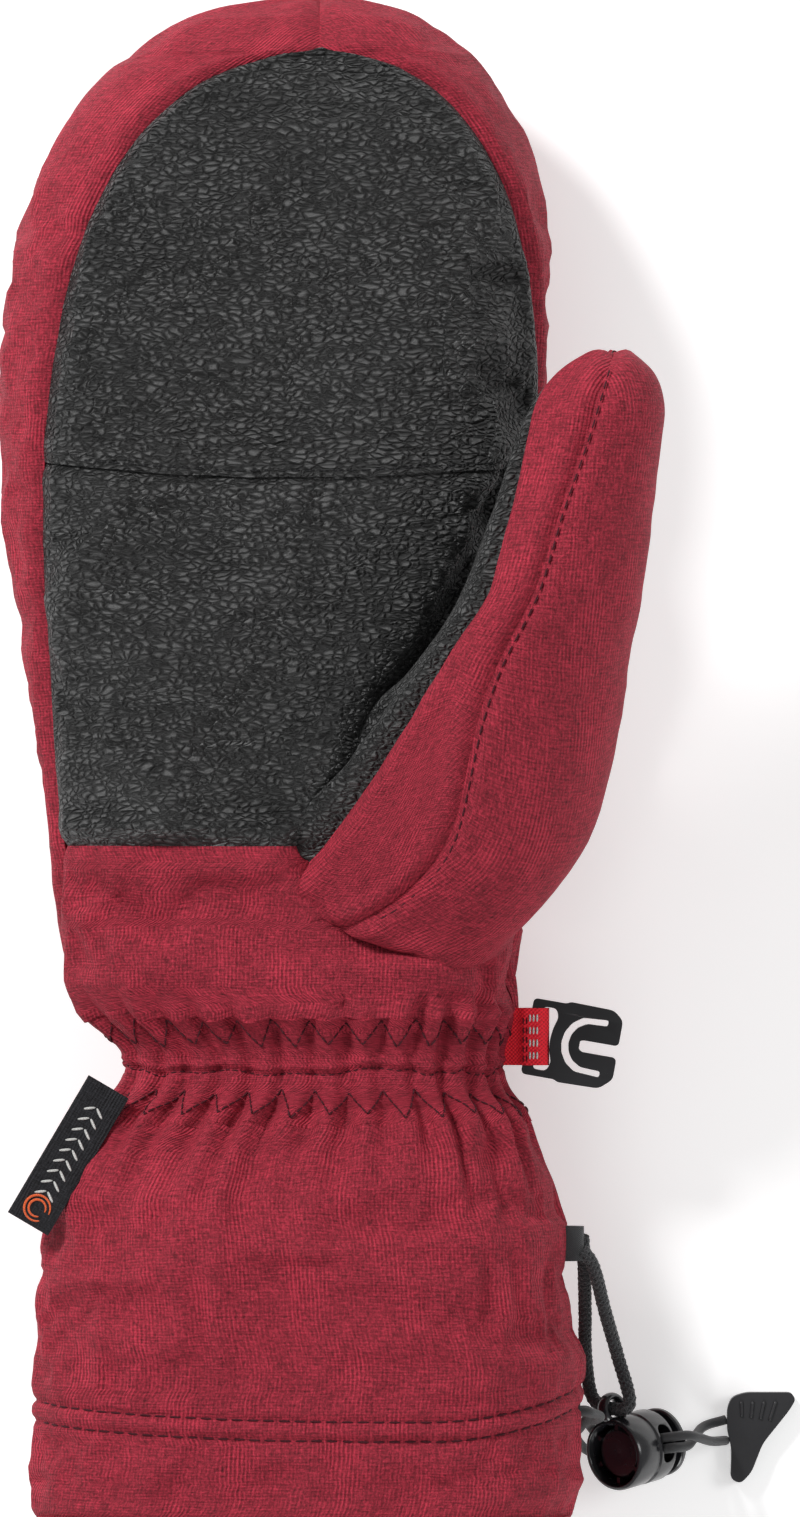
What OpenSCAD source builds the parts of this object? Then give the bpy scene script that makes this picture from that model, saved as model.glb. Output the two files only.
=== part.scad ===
// Padded ski mitten, left hand, lying on its back with the palm up.
// +X points to the thumb side, +Y to the fingertips and +Z up. The origin is on the
// table, under the middle of the mitten.

/* [Hand] */
// Distance from the middle of the mitten to the fingertip
tip_y = 170; // [150:1:185]
// Half the width of the hand on the little finger side
hand_left = 73.5; // [66:0.5:78]
// Half the thickness of the padded hand
hand_half = 25; // [23:0.5:26]
// Height of the hand's middle plane above the table
mid_z = 27; // [26.5:0.5:30]
// How far the palm swells in its middle
palm_swell = 4; // [1:0.5:6]

/* [Cuff] */
// Distance from the middle of the mitten to the hem
hem_y = 170; // [160:1:180]
// Position of the wrist elastic along the mitten
wrist_y = -69; // [-72:1:-66]
// Half the thickness at the wrist elastic
wrist_half = 22; // [21:0.5:23]
// Half the thickness of the gauntlet at its hem
hem_half = 31; // [28:0.5:33]
// Height of the drawcord tunnel above the hem
tunnel_up = 24; // [22:0.5:26]

/* [Layers] */
// Thickness of the shell fabric and the leather
shell_t = 1; // [0.8:0.1:1.2]
// Gap between neighbouring layers and panels
gap = 0.3; // [0.2:0.05:0.4]
// Depth of the back of the hand's insulation
insulation_in = 7; // [5:0.5:8]
// Depth of the inner face of the hand lining
lining_in = 8.5; // [8:0.5:9.5]

/* [Thumb] */
// Half the length of the thumb's root along the hand
root_half_l = 42; // [38:1:44]
// Half the angle that the thumb's root covers round the side of the hand
root_half_a = 41; // [36:1:42]
// Angle of the thumb round the side of the hand
thumb_at = 49; // [40:1:50]
// Position of the crotch between the thumb and the hand
crotch_y = 34; // [30:1:38]
// Position of the tip of the thumb
thumb_tip_y = 90; // [84:1:94]

/* [Hardware] */
// Width of the webbing loop
webbing_w = 12.8; // [11:0.1:13]
// Length of the hook clip
clip_l = 20.5; // [19:0.5:24]
// Thickness of the hook clip
clip_t = 3.4; // [3:0.1:4]
// Diameter of the cord lock's barrel
lock_d = 16.5; // [16:0.1:17.5]
// Diameter of the braided anchor cord
anchor_d = 3; // [2.6:0.1:3.2]
// Diameter of the smooth elastic drawcord
elastic_d = 2.2; // [2:0.1:2.4]

/* [Hidden] */

burgundy = [0.55, 0.13, 0.2];
leather = [0.15, 0.16, 0.16];
plastic = [0.07, 0.07, 0.08];
fill = [0.85, 0.84, 0.8];
lining_colour = [0.3, 0.3, 0.32];

// The fingertip dome: where each side starts to curve in, and how square it is
left_dome_y = 73.5;
right_dome_y = 109.5;
thin_dome_y = 120;
left_square = 2.5;
right_square = 2.2;

// Half widths from the spine, position first
side_mid = 43;
side_dome = 49.15;
left_edge = [[-hem_y, 64], [6 - hem_y, 66], [-120, 64.5], [-100, 61.5], [-86, 57],
             [wrist_y - 9, 51.5], [wrist_y - 3, 46.5], [wrist_y, 45.6],
             [wrist_y + 5, 47.5], [wrist_y + 11, 53.5], [-52, 57.3], [-32, 60.6],
             [-9, 63.1], [13, 66.5], [36, 70], [56, 72.7], [74, hand_left]];
right_edge = [[-hem_y, 53.5], [6 - hem_y, 55.4], [-135, 56.4], [-126, 54], [-106, 52],
              [-92, 48], [wrist_y - 10, 42.7], [wrist_y - 3, 39.5], [wrist_y, 39.1],
              [wrist_y + 9, 39.4], [-52, 40.1], [0, side_mid],
              [right_dome_y, side_dome]];
half_height = [[-130, hem_half], [-108, 29.5], [-95, 27.5], [-82, 24],
               [wrist_y - 6, wrist_half + 0.3], [wrist_y, wrist_half],
               [wrist_y + 5, wrist_half + 0.3], [-56, 24], [-48, hand_half]];
right_round = [[-hem_y, 35], [-100, 33], [wrist_y - 6, 25], [-48, hand_half]];
squareness = [[-hem_y, 2.4], [-95, 2.3], [-80, 2], [-58, 2], [-40, 2.3], [-20, 2.5]];
middle_z = [[-115, hem_half], [-80, mid_z + 0.5], [-74, mid_z]];
swell = [[-60, 0], [-30, 0.7], [40, 1], [110, 1], [150, 0.3], [tip_y, 0]];
// The back is a little fuller than the palm, and flat where the mitten lies on it
back_fullness = [[-60, 1], [-40, 1.12], [120, 1.12], [150, 1.05]];

// The thumb swings about a line inside the thumb side of the hand
pivot_x = side_mid - hand_half;
pivot_slope = (side_dome - side_mid) / right_dome_y;
function pivot_x_at(y) = pivot_x + pivot_slope * y;

function power(v, p) = sign(v) * pow(abs(v), p);
function dome(y, start, end, n) =
    y <= start ? 1 : pow(max(0, 1 - pow(min(1, (y - start) / (end - start)), n)), 1 / n);

// Where a station of the outer surface lies for the layer at depth d
function layer_y(y, d) = y <= left_dome_y ? y
    : left_dome_y + (y - left_dome_y) * (tip_y - d - left_dome_y) / (tip_y - left_dome_y);
function left_x(y, d) =
    (lookup(y, left_edge) - d) * dome(y, left_dome_y, tip_y - d, left_square);
function right_x(y, d) =
    (lookup(y, right_edge) - d) * dome(y, right_dome_y, tip_y - d, right_square);
function thin(y, d) = dome(y, thin_dome_y, tip_y - d, 2);
function half_z(y, d) = (lookup(y, half_height) - d) * thin(y, d);
function round_x(y, d) = (lookup(y, right_round) - d) * thin(y, d);
function centre_x(y, d) = right_x(y, d) - round_x(y, d);
function reach_x(y, d) = left_x(y, d) + centre_x(y, d);
function swell_z(y, part) =
    palm_swell * lookup(y, swell) * pow(sin(180 * max(0, (part - 0.15) / 0.85)), 2);

// Surface of the mitten: station y, angle a round it from the thumb side over the palm,
// and depth d below the outside
function skin(y, a, d) =
    let (yy = layer_y(y, d), n = lookup(yy, squareness), right = cos(a) >= 0,
         up = sin(a) >= 0, part = right ? 0 : (up ? a - 90 : 270 - a) / 90,
         x = right ? centre_x(yy, d) + round_x(yy, d) * cos(a)
                   : centre_x(yy, d) + reach_x(yy, d) * power(cos(a), 2 / n),
         h = (right ? sin(a) : power(sin(a), 2 / n))
             * (up ? 1 : lookup(yy, back_fullness)),
         z = lookup(yy, middle_z) + half_z(yy, d) * h + sign(h) * swell_z(yy, part))
    [x, yy, max(z, d)];

// Angle at which the palm side of the outer surface passes over x
function angle_at(y, x) =
    let (c = centre_x(y, 0), n = lookup(y, squareness))
    x >= c ? acos(min(1, (x - c) / round_x(y, 0)))
           : 180 - acos(min(1, pow((c - x) / reach_x(y, 0), n / 2)));

// A ball shaped surface about the wrist's flexing axis, t along the mitten from it
function ball(t, a, d) =
    let (h = wrist_half - d, s = sqrt(1 - pow(t / h, 2)),
         c = right_x(wrist_y, 0) - round_x(wrist_y, 0),
         w = cos(a) >= 0 ? round_x(wrist_y, 0) - d : left_x(wrist_y, 0) + c - d)
    [c + w * s * cos(a), wrist_y + t, mid_z + h * s * sin(a)];

// Stations along the hand, closer together in the dome
hand_end = -57.7;
dome_steps = [for (i = [1:10]) left_dome_y + (tip_y - left_dome_y) * sin(8.6 * i)];
stations = concat([for (y = [-170:12:-86]) y], [for (y = [-48:15:left_dome_y]) y],
                  dome_steps, [tip_y - 0.3]);
function between(y0, y1) =
    concat([y0], [for (y = stations) if (y > y0 + 1 && y < y1 - 1) y], [y1]);
function mix(p, q, s) = p * (1 - s) + q * s;

// Solid between two grids of points, each a list of rows. A ring joins its last column
// to its first one.
module slab(outside, inside, ring = false) {
    rows = len(outside);
    cols = len(outside[0]);
    size = rows * cols;
    last = ring ? cols - 1 : cols - 2;
    points = concat([for (row = outside) each row], [for (row = inside) each row]);
    function at(r, c) = r * cols + c % cols;
    function two(p, q, s, t) = [[p, q, s], [p, s, t]];
    skins = [for (r = [0:rows - 2], c = [0:last])
        each concat(two(at(r, c), at(r, c + 1), at(r + 1, c + 1), at(r + 1, c)),
                    two(size + at(r, c), size + at(r + 1, c), size + at(r + 1, c + 1),
                        size + at(r, c + 1)))];
    ends = [for (c = [0:last])
        each concat(two(at(0, c), size + at(0, c), size + at(0, c + 1), at(0, c + 1)),
                    two(at(rows - 1, c), at(rows - 1, c + 1), size + at(rows - 1, c + 1),
                        size + at(rows - 1, c)))];
    sides = ring ? [] : [for (r = [0:rows - 2])
        each concat(two(at(r, 0), at(r + 1, 0), size + at(r + 1, 0), size + at(r, 0)),
                    two(at(r, cols - 1), size + at(r, cols - 1),
                        size + at(r + 1, cols - 1), at(r + 1, cols - 1)))];
    polyhedron(points, concat(skins, ends, sides));
}

// Columns lie closer together at the mitten's rounded sides than on its flat faces
crowding = 18;
function crowded(u) = u - crowding * sin(2 * u);
function spread_out(a, u, n = 12) =
    n == 0 ? u : spread_out(a, a + crowding * sin(2 * u), n - 1);
function patch(ys, lo, hi, d, cols) =
    [for (i = [0:len(ys) - 1])
        let (from = spread_out(lo[i], lo[i]), to = spread_out(hi[i], hi[i]))
        [for (c = [0:cols]) skin(ys[i], crowded(mix(from, to, c / cols)), d)]];

// Panel of the mitten between two depths, with an edge angle at each station
module panel(ys, lo, hi, d0, d1, cols) {
    slab(patch(ys, lo, hi, d0, cols), patch(ys, lo, hi, d1, cols));
}

// Edges of the leather palm, as x at each station
leather_left = [[-20, -59], [0, -61.3], [50, -64.3], [85, -62.2], [102, -59], [117, -53],
                [133, -45.5], [145, -35], [152, -24.5], [156.5, -9.5]];
leather_right = [[28, 45.5], [74, 46.5], [90, 45.8], [108, 44], [122, 40.7], [132, 36.5],
                 [139, 33], [149, 21.5], [154, 16.5], [156.5, 6.5]];
leather_top = 156.5;
leather_foot = -19.5;
cross_seam = 65.5;
tip_seam_x = -2;

// The thumb hole in the hand: stations along it, and angles across it
hole_y0 = -36;
hole_y1 = 22;
hole_lo = 20;
hole_hi = 62.5;
function in_hole(y) = y > hole_y0 && y < hole_y1;
hole_rows = [hole_y0 - 0.2, hole_y0 + 0.2, hole_y1 - 0.2, hole_y1 + 0.2];
function with_rows(ys, extra) =
    let (all = concat(ys, [for (y = extra) if (y > ys[0] && y < ys[len(ys) - 1]) y]))
    sorted(all);
function sorted(v) = len(v) < 2 ? v
    : let (p = v[floor(len(v) / 2)])
      concat(sorted([for (y = v) if (y < p) y]), [p], sorted([for (y = v) if (y > p) y]));

edge_gap = 0.25;
function leather_lo(y) = y < hole_y1 ? (in_hole(y) ? hole_hi : hole_lo + 0.6)
    : angle_at(y, lookup(y, leather_right) - edge_gap);
function leather_hi(y) = angle_at(y, lookup(y, leather_left) + edge_gap);
function inner_edge(y) = y < hole_y1 ? hole_lo
    : y <= leather_top ? angle_at(y, lookup(y, leather_right) + edge_gap)
                       : angle_at(y, tip_seam_x + edge_gap);
function outer_edge(y) = y <= leather_top ? angle_at(y, lookup(y, leather_left) - edge_gap)
                                          : angle_at(y, tip_seam_x - edge_gap);

side_turn = 15;
tip_end = tip_y - 0.3;

module back_shell() {
    ys = between(hand_end, tip_end);
    color(burgundy)
        panel(ys, [for (y = ys) 180 + side_turn + 0.5], [for (y = ys) 360 - side_turn],
              0, shell_t, 16);
}

module outer_side_panel() {
    ys = with_rows(between(hand_end, tip_end), [leather_top, leather_top + 0.5]);
    color(burgundy)
        panel(ys, [for (y = ys) outer_edge(y)], [for (y = ys) 180 + side_turn],
              0, shell_t, 8);
}

module inner_side_panel() {
    ys = with_rows(between(hand_end, tip_end),
                   concat(hole_rows, [leather_top, leather_top + 0.5]));
    color(burgundy)
        panel(ys, [for (y = ys) 0.5 - side_turn], [for (y = ys) inner_edge(y)],
              0, shell_t, 8);
}

module palm_upper_leather() {
    ys = between(cross_seam + gap, leather_top - gap);
    color(leather)
        panel(ys, [for (y = ys) leather_lo(y)], [for (y = ys) leather_hi(y)],
              0, shell_t, 16);
}

module palm_lower_leather() {
    ys = with_rows(between(leather_foot + gap, cross_seam), hole_rows);
    color(leather)
        panel(ys, [for (y = ys) leather_lo(y)], [for (y = ys) leather_hi(y)],
              0, shell_t, 16);
}

module heel_panel() {
    ys = with_rows(between(hand_end, leather_foot), hole_rows);
    color(burgundy)
        panel(ys, [for (y = ys) leather_lo(y)], [for (y = ys) leather_hi(y)],
              0, shell_t, 16);
}

// The inner layers end higher than the shell, to leave room for the wrist's ball
inner_end = -54.5;
inner_rows = concat([inner_end], [for (y = [-40:18:left_dome_y]) y],
                    [for (i = [2:2:10]) dome_steps[i - 1]], [tip_end]);

// Columns that every inner layer shares, so that the layers nest without touching
palm_cols = 8;
back_cols = 13;
split = [180, 181.5];
function spaced(from, to, n) =
    let (p = spread_out(from, from), q = spread_out(to, to))
    [for (c = [0:n]) crowded(mix(p, q, c / n))];
palm_angles = spaced(hole_hi + 0.5, split[0], palm_cols);
back_angles = spaced(split[1], 360 + hole_lo, back_cols);
function thumb_side(y) =
    [for (c = [0:2]) mix(in_hole(y) ? hole_hi : hole_lo + 1.5, hole_hi + 0.5, c / 3)];

// A layer inside the hand: on its palm, on its back, or all round it but the thumb hole
module hand_layer(d0, d1, palm, back) {
    ys = with_rows(inner_rows, hole_rows);
    angles = [for (y = ys) concat(palm ? concat(thumb_side(y), palm_angles) : [],
                                  back ? back_angles : [])];
    slab([for (i = [0:len(ys) - 1]) [for (a = angles[i]) skin(ys[i], a, d0)]],
         [for (i = [0:len(ys) - 1]) [for (a = angles[i]) skin(ys[i], a, d1)]]);
}

insert_d = [shell_t + 0.7, shell_t + 1.1];

module waterproof_insert() {
    color("ivory") hand_layer(insert_d[0], insert_d[1], true, true);
}

module back_insulation() {
    color(fill) hand_layer(insert_d[1] + gap, insulation_in, false, true);
}

module palm_insulation() {
    color(fill) hand_layer(insert_d[1] + gap, insulation_in, true, false);
}

module hand_lining() {
    color(lining_colour) hand_layer(insulation_in + gap, lining_in, true, true);
}

ring_cols = 40;
function casing_outside(t0, t1, n) =
    [for (i = [0:n]) [for (c = [0:ring_cols - 1])
        skin(wrist_y + mix(t0, t1, i / n), 360 * c / ring_cols, 0)]];
function ball_rows(t0, t1, d, n) =
    [for (i = [0:n]) [for (c = [0:ring_cols - 1])
        ball(mix(t0, t1, i / n), 360 * c / ring_cols, d)]];

// The ball of the wrist, and how far each casing reaches along it
ball_d = [1.8, 3.2];
ball_t = [-12, 8];
upper_casing_t = [-3, 11];
lower_casing_t = [-12.5, -8.6];
socket_d = 1.2;

module upper_wrist_casing() {
    t = upper_casing_t;
    color(burgundy)
        slab(casing_outside(t[0], t[1], 6), ball_rows(t[0], t[1], socket_d, 6), true);
}

module lower_wrist_casing() {
    t = lower_casing_t;
    color(burgundy)
        slab(casing_outside(t[0], t[1], 3), ball_rows(t[0], t[1], ball_d[0] - gap, 3),
             true);
}

module wrist_elastic() {
    color(leather)
        slab(ball_rows(ball_t[0], ball_t[1], ball_d[0], 8),
             ball_rows(ball_t[0], ball_t[1], ball_d[1], 8), true);
}

// Thumb: rings turn about the crotch from the root on the hand's side to a tube
root_r = hand_half + 0.5;
tube_half = 19;
bend_steps = 6;
thumb_lean = 14;
thumb_dome_y = 70;
outer_fullness = 0.32;
thumb_radius = [[crotch_y, 21.5], [45, 20], [58, 18], [thumb_dome_y, 15.6], [77, 13.6],
                [82.5, 11], [86.5, 8], [89, 4.6], [thumb_tip_y - 0.2, 1.8]];
out_dir = [cos(thumb_at), 0, sin(thumb_at)];
side_dir = [-sin(thumb_at), 0, cos(thumb_at)];

// How far a ring that has turned about the crotch reaches from it
function ring_reach(turn) =
    (1 + outer_fullness * sin(2 * turn))
    / (cos(turn) / (2 * root_half_l) + sin(turn) / (2 * tube_half));

// A ring that has turned by turn about the crotch, c across and u outwards
function bend_point(turn, a, d) =
    let (w = turn / 90, full_u = ring_reach(turn) / 2, half_u = full_u - d,
         half_c = mix(root_half_a * PI / 180 * root_r, thumb_radius[0][1], w) - d,
         u = full_u - half_u * cos(a), c = half_c * sin(a),
         y = crotch_y - u * cos(turn), r = root_r + u * sin(turn),
         bent = thumb_at + c / root_r * 180 / PI,
         on_hand = [r * cos(bent), y, r * sin(bent)],
         straight = r * out_dir + c * side_dir + [0, y, 0])
    mix(on_hand, straight, w) + [pivot_x_at(y), 0, mid_z];

tube_start = root_r * out_dir + tube_half * out_dir
    + [pivot_x_at(crotch_y), crotch_y, mid_z];
function tube_y(y, d) = y <= thumb_dome_y ? y
    : thumb_dome_y + (y - thumb_dome_y) * (thumb_tip_y - d - thumb_dome_y)
        / (thumb_tip_y - thumb_dome_y);
function tube_point(y, a, d) =
    let (yy = tube_y(y, d), r = lookup(y, thumb_radius),
         dome_r = lookup(thumb_dome_y, thumb_radius),
         k = y <= thumb_dome_y ? (r - d) / r : (dome_r - d) / dome_r,
         along = (yy - crotch_y) / (thumb_dome_y - crotch_y),
         round_u = mix(tube_half, lookup(thumb_dome_y, thumb_radius), min(1, along)),
         half_u = y <= thumb_dome_y ? round_u - d : r * k,
         middle = tube_start
            + [(yy - crotch_y) * tan(thumb_lean), yy - crotch_y, 0])
    middle - half_u * cos(a) * out_dir + r * k * sin(a) * side_dir;

thumb_stations = [for (i = [1:len(thumb_radius) - 1]) thumb_radius[i][0]];
function thumb_grid(d, lo, hi, cols) =
    concat([for (i = [0:bend_steps]) [for (c = [0:cols])
               bend_point(90 * i / bend_steps, mix(lo, hi, c / cols), d)]],
           [for (y = thumb_stations) [for (c = [0:cols])
               tube_point(y, mix(lo, hi, c / cols), d)]]);

module thumb_panel(d0, d1, lo, hi, cols) {
    slab(thumb_grid(d0, lo, hi, cols), thumb_grid(d1, lo, hi, cols));
}

leather_from = -60;
leather_to = 92;
ridge_at = 136;

module thumb_leather() {
    color(leather) thumb_panel(0, shell_t, leather_from, leather_to, 10);
}

module thumb_front_panel() {
    color(burgundy) thumb_panel(0, shell_t, leather_to + 0.8, ridge_at, 5);
}

module thumb_back_panel() {
    color(burgundy)
        thumb_panel(0, shell_t, ridge_at + 0.8, 360 + leather_from - 0.8, 10);
}

thumb_fill = [insert_d[1] + gap, 5.5];
thumb_lining_d = [thumb_fill[1] + gap, thumb_fill[1] + gap + 1];

module thumb_insert() {
    color("ivory") thumb_panel(insert_d[0], insert_d[1], 1, 360, 16);
}

module thumb_insulation() {
    color(fill) thumb_panel(thumb_fill[0], thumb_fill[1], 1, 360, 16);
}

module thumb_lining() {
    color(lining_colour) thumb_panel(thumb_lining_d[0], thumb_lining_d[1], 1, 360, 16);
}

// Gauntlet, from the wrist to the hem, in a palm half and a back half
gauntlet_top = wrist_y + lower_casing_t[0] - gap;
tunnel_y = tunnel_up - hem_y;
notch_half_y = 3.4;
notch_a = 9.6;
function notch_edge(y) = abs(y - tunnel_y) < notch_half_y ? notch_a : 0.4;
notch_rows = [for (s = [-1, 1], e = [-0.2, 0.2]) tunnel_y + s * notch_half_y + e];
gauntlet_rows = with_rows(between(-hem_y, gauntlet_top), notch_rows);

module gauntlet_palm_panel() {
    ys = gauntlet_rows;
    color(burgundy)
        panel(ys, [for (y = ys) notch_edge(y)], [for (y = ys) 179.7], 0, shell_t, 16);
}

module gauntlet_back_panel() {
    ys = gauntlet_rows;
    color(burgundy)
        panel(ys, [for (y = ys) 180.3], [for (y = ys) 360 - notch_edge(y)],
              0, shell_t, 16);
}

module gauntlet_ring(y0, y1, d0, d1) {
    ys = between(y0, y1);
    panel(ys, [for (y = ys) 0.5], [for (y = ys) 360], d0, d1, 26);
}

wadding_d = [shell_t + 0.5, 3.3];
cuff_lining_d = [3.6, 4.6];
facing_d = [3.9, 4.7];
wadding_end = tunnel_y + 4;

module gauntlet_wadding() {
    color(fill) gauntlet_ring(wadding_end, gauntlet_top, wadding_d[0], wadding_d[1]);
}

module gauntlet_lining() {
    color(lining_colour)
        gauntlet_ring(wadding_end - 0.7, gauntlet_top, cuff_lining_d[0], cuff_lining_d[1]);
}

module hem_facing() {
    color(burgundy)
        gauntlet_ring(0.3 - hem_y, wadding_end - 1, facing_d[0], facing_d[1]);
}

module hem_interlining() {
    color(fill)
        gauntlet_ring(0.3 - hem_y, tunnel_y - 4.5, wadding_d[0], wadding_d[1] + gap);
}

// Tube along a list of points
tube_ref = [0.31, -0.52, 0.8];
function unit(v) = v / norm(v);
function heading(path, i) =
    unit(path[min(i + 1, len(path) - 1)] - path[max(i - 1, 0)]);
function tube_ring(path, i, r, sides) =
    let (t = heading(path, i), n = unit(cross(t, tube_ref)), b = cross(t, n))
    [for (s = [0:sides - 1])
        path[i] + r * (cos(360 * s / sides) * n + sin(360 * s / sides) * b)];

module tube(path, d, sides = 8) {
    rings = len(path);
    points = [for (i = [0:rings - 1]) each tube_ring(path, i, d / 2, sides)];
    walls = [for (i = [0:rings - 2], s = [0:sides - 1])
        let (p = i * sides + s, q = i * sides + (s + 1) % sides)
        each [[p, p + sides, q], [q, p + sides, q + sides]]];
    foot = [[for (s = [0:sides - 1]) s]];
    head = [[for (s = [sides - 1:-1:0]) (rings - 1) * sides + s]];
    polyhedron(points, concat(walls, foot, head));
}

// Smooth curve through a route's points
steps_per_leg = 4;
function spline_point(p, q, r, s, t) =
    0.5 * (2 * q + (r - p) * t + (2 * p - 5 * q + 4 * r - s) * t * t
           + (3 * q - p - 3 * r + s) * t * t * t);
function smooth(route) =
    concat([for (i = [0:len(route) - 2], k = [0:steps_per_leg - 1])
        spline_point(route[max(0, i - 1)], route[i], route[i + 1],
                     route[min(len(route) - 1, i + 2)], k / steps_per_leg)],
        [route[len(route) - 1]]);

module drawcord() {
    color(leather)
        tube([for (a = [12:12:348]) skin(tunnel_y, a, 2.5)], elastic_d);
}

// Two holes side by side, one for each end of the drawcord
grommet_x = lookup(tunnel_y, right_edge) - 0.2;
grommet_hole = 2.6;

module cord_grommet() {
    color(plastic)
        translate([grommet_x, tunnel_y, hem_half]) rotate([0, 90, 0])
        difference() {
            cube([9, 5.6, 1.4], center = true);
            for (s = [-1, 1])
                translate([s * grommet_hole, 0, -2]) cylinder(d = 3, h = 4, $fn = 32);
        }
}

anchor_y = -108.5;
anchor_x = lookup(anchor_y, right_edge) + 0.35;

module cord_anchor_tab() {
    color(plastic)
        translate([anchor_x, anchor_y - 4, lookup(anchor_y, middle_z) - 1.6])
        cube([2.6, 8, 3.2]);
}

// Side label: a folded woven tape that hangs from the side seam
label_at = [-49, -73.3, 38.8];
label_turn = -30.5;
label_drop = 5;
label_w = 10.4;
label_l = 35.5;
label_t = 1.2;

module side_label() {
    color(leather)
        translate(label_at) rotate([0, 0, label_turn]) rotate([-label_drop, 0, 0])
        translate([-label_w / 2, -label_l, 0]) cube([label_w, label_l, label_t]);
}

// Webbing loop with an eye for the clip's bar
webbing_y = -62.3;
webbing_x = 40.5;
webbing_t = 1.2;
eye_x = 45.75;
eye_half = 1.15;
eye_r = 1.4;

module eye_outline(r) {
    hull() for (s = [-1, 1]) translate([eye_x + s * eye_half, 0]) circle(r, $fn = 24);
}

module webbing_loop() {
    color([0.8, 0.1, 0.12])
        translate([0, webbing_y + webbing_w / 2, mid_z]) rotate([90, 0, 0])
        linear_extrude(webbing_w)
        difference() {
            union() {
                eye_outline(eye_r + webbing_t);
                translate([webbing_x, -webbing_t - 0.1])
                    square([eye_x - webbing_x, 2 * webbing_t + 0.2]);
            }
            eye_outline(eye_r);
        }
}

// Hook clip, drawn flat from its bar
bar_d = 2.4;
arm_in = 7.1;
arm_out = 8.6;
clip_turn = -10;
window_end = 5.6;
cross_end = 8;
slot_w = 1.5;
slit_w = 2.3;

module hook_clip() {
    end_x = clip_l - bar_d / 2;
    color(plastic)
        translate([eye_x, webbing_y, mid_z]) rotate([0, 0, clip_turn]) {
            rotate([90, 0, 0])
                cylinder(d = bar_d, h = 2 * arm_in + 1, center = true, $fn = 32);
            translate([0, 0, -clip_t / 2])
                linear_extrude(clip_t)
                difference() {
                    translate([-bar_d / 2, -arm_out]) square([clip_l, 2 * arm_out]);
                    translate([-bar_d, -arm_in])
                        square([bar_d + window_end, 2 * arm_in]);
                    translate([cross_end, -5.6]) square([slot_w, 11.2]);
                    for (s = [-1, 1])
                        translate([cross_end, s * 5.6 - slot_w / 2])
                            square([8, slot_w]);
                    translate([cross_end + 3, -slit_w / 2])
                        square([end_x, slit_w]);
                }
        }
}

// Cord lock: its own frame has the mouth of the barrel along +Z
lock_at = [72.5, -154.8, 8.9];
lock_turn = 12;
lock_tilt = -43;
barrel_l = 13;
bore_d = 9.4;
bore_top = 9.7;
stem_top = 5.3;
cap_foot = -4;
cap_top = -2.2;

module in_lock() {
    translate(lock_at) rotate([0, 0, lock_turn]) rotate([0, lock_tilt, 0]) children();
}

// Slot through the lock for the two strands, w wide and from z0 to z1
module cord_slot(w, z0, z1) {
    r = (z1 - z0) / 2;
    translate([-lock_d, 0, z0 + r]) rotate([0, 90, 0]) {
        translate([-r, r - w / 2, 0]) cube([2 * r, w - 2 * r, 2 * lock_d]);
        for (s = [-1, 1])
            translate([0, s * (w / 2 - r), 0]) cylinder(r = r, h = 2 * lock_d, $fn = 24);
    }
}

ear_at = [0, 10, 10];

module lock_barrel() {
    color(plastic)
        in_lock()
        difference() {
            union() {
                cylinder(d = lock_d, h = barrel_l, $fn = 48);
                translate(ear_at) rotate([0, 90, 0])
                    cylinder(d = 7.6, h = 3, center = true, $fn = 32);
            }
            translate([0, 0, -1]) cylinder(d = bore_d, h = bore_top + 1, $fn = 40);
            translate([0, 0, 7]) difference() {
                cylinder(d = lock_d - 2.4, h = barrel_l, $fn = 48);
                translate([0, 0, -1]) cylinder(d = bore_d + 2, h = 5, $fn = 40);
            }
            translate(ear_at) rotate([0, 90, 0])
                cylinder(d = 4.2, h = 6, center = true, $fn = 32);
            cord_slot(8.8, 1.2, 4.9);
        }
}

module lock_plunger() {
    color(plastic)
        in_lock()
        difference() {
            union() {
                translate([0, 0, cap_foot])
                    cylinder(d = lock_d - 1, h = cap_top - cap_foot, $fn = 48);
                translate([0, 0, cap_top - 0.1])
                    cylinder(d = bore_d - 0.4, h = stem_top - cap_top + 0.1, $fn = 40);
            }
            cord_slot(7, -0.2, 4.8);
        }
}

// Compression spring between the plunger and the end of the bore
spring_wire = 0.6;
spring_d = 7;
spring_turns = 3;

module lock_spring() {
    low = stem_top + 0.15 + spring_wire / 2;
    high = bore_top - 0.15 - spring_wire / 2;
    n = spring_turns * 12;
    color("silver")
        in_lock()
        tube([for (i = [0:n])
                 [spring_d / 2 * cos(30 * i), spring_d / 2 * sin(30 * i),
                  mix(low, high, i / n)]], spring_wire, 6);
}

// Pull tab, lying beside the lock
tab_t = 3.6;
tab_at = [90, -152, 0.2];

module pull_tab() {
    color(plastic)
        translate(tab_at)
        difference() {
            linear_extrude(tab_t)
                polygon([[1, 7.5], [4, 8.6], [14.5, 8.6], [15.5, 7], [14, 4.5], [8, -3],
                         [5.5, -9.5], [3, -12], [0.8, -11], [1, -4], [0, 0], [0, 5]]);
            for (y = [-2.3, 2.3])
                translate([-1, y, tab_t / 2]) rotate([0, 90, 0])
                    cylinder(d = elastic_d + 0.3, h = 4, $fn = 24);
        }
}

// Braided loop from the anchor tab through the lock's ear and back
anchor_route = [[56.9, -107, 30.4], [57.3, -114, 27], [57.6, -124, 20], [57.8, -134.5, 14],
                [59.4, -144, 11.8], [63.75, -146.35, 16.3], [67.6, -144.8, 20],
                [65, -134.5, 18], [62, -124, 23], [59.4, -114, 29.3], [56.9, -110, 32.2]];

module anchor_cord() {
    color(leather) tube(smooth(anchor_route), anchor_d);
}

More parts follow.
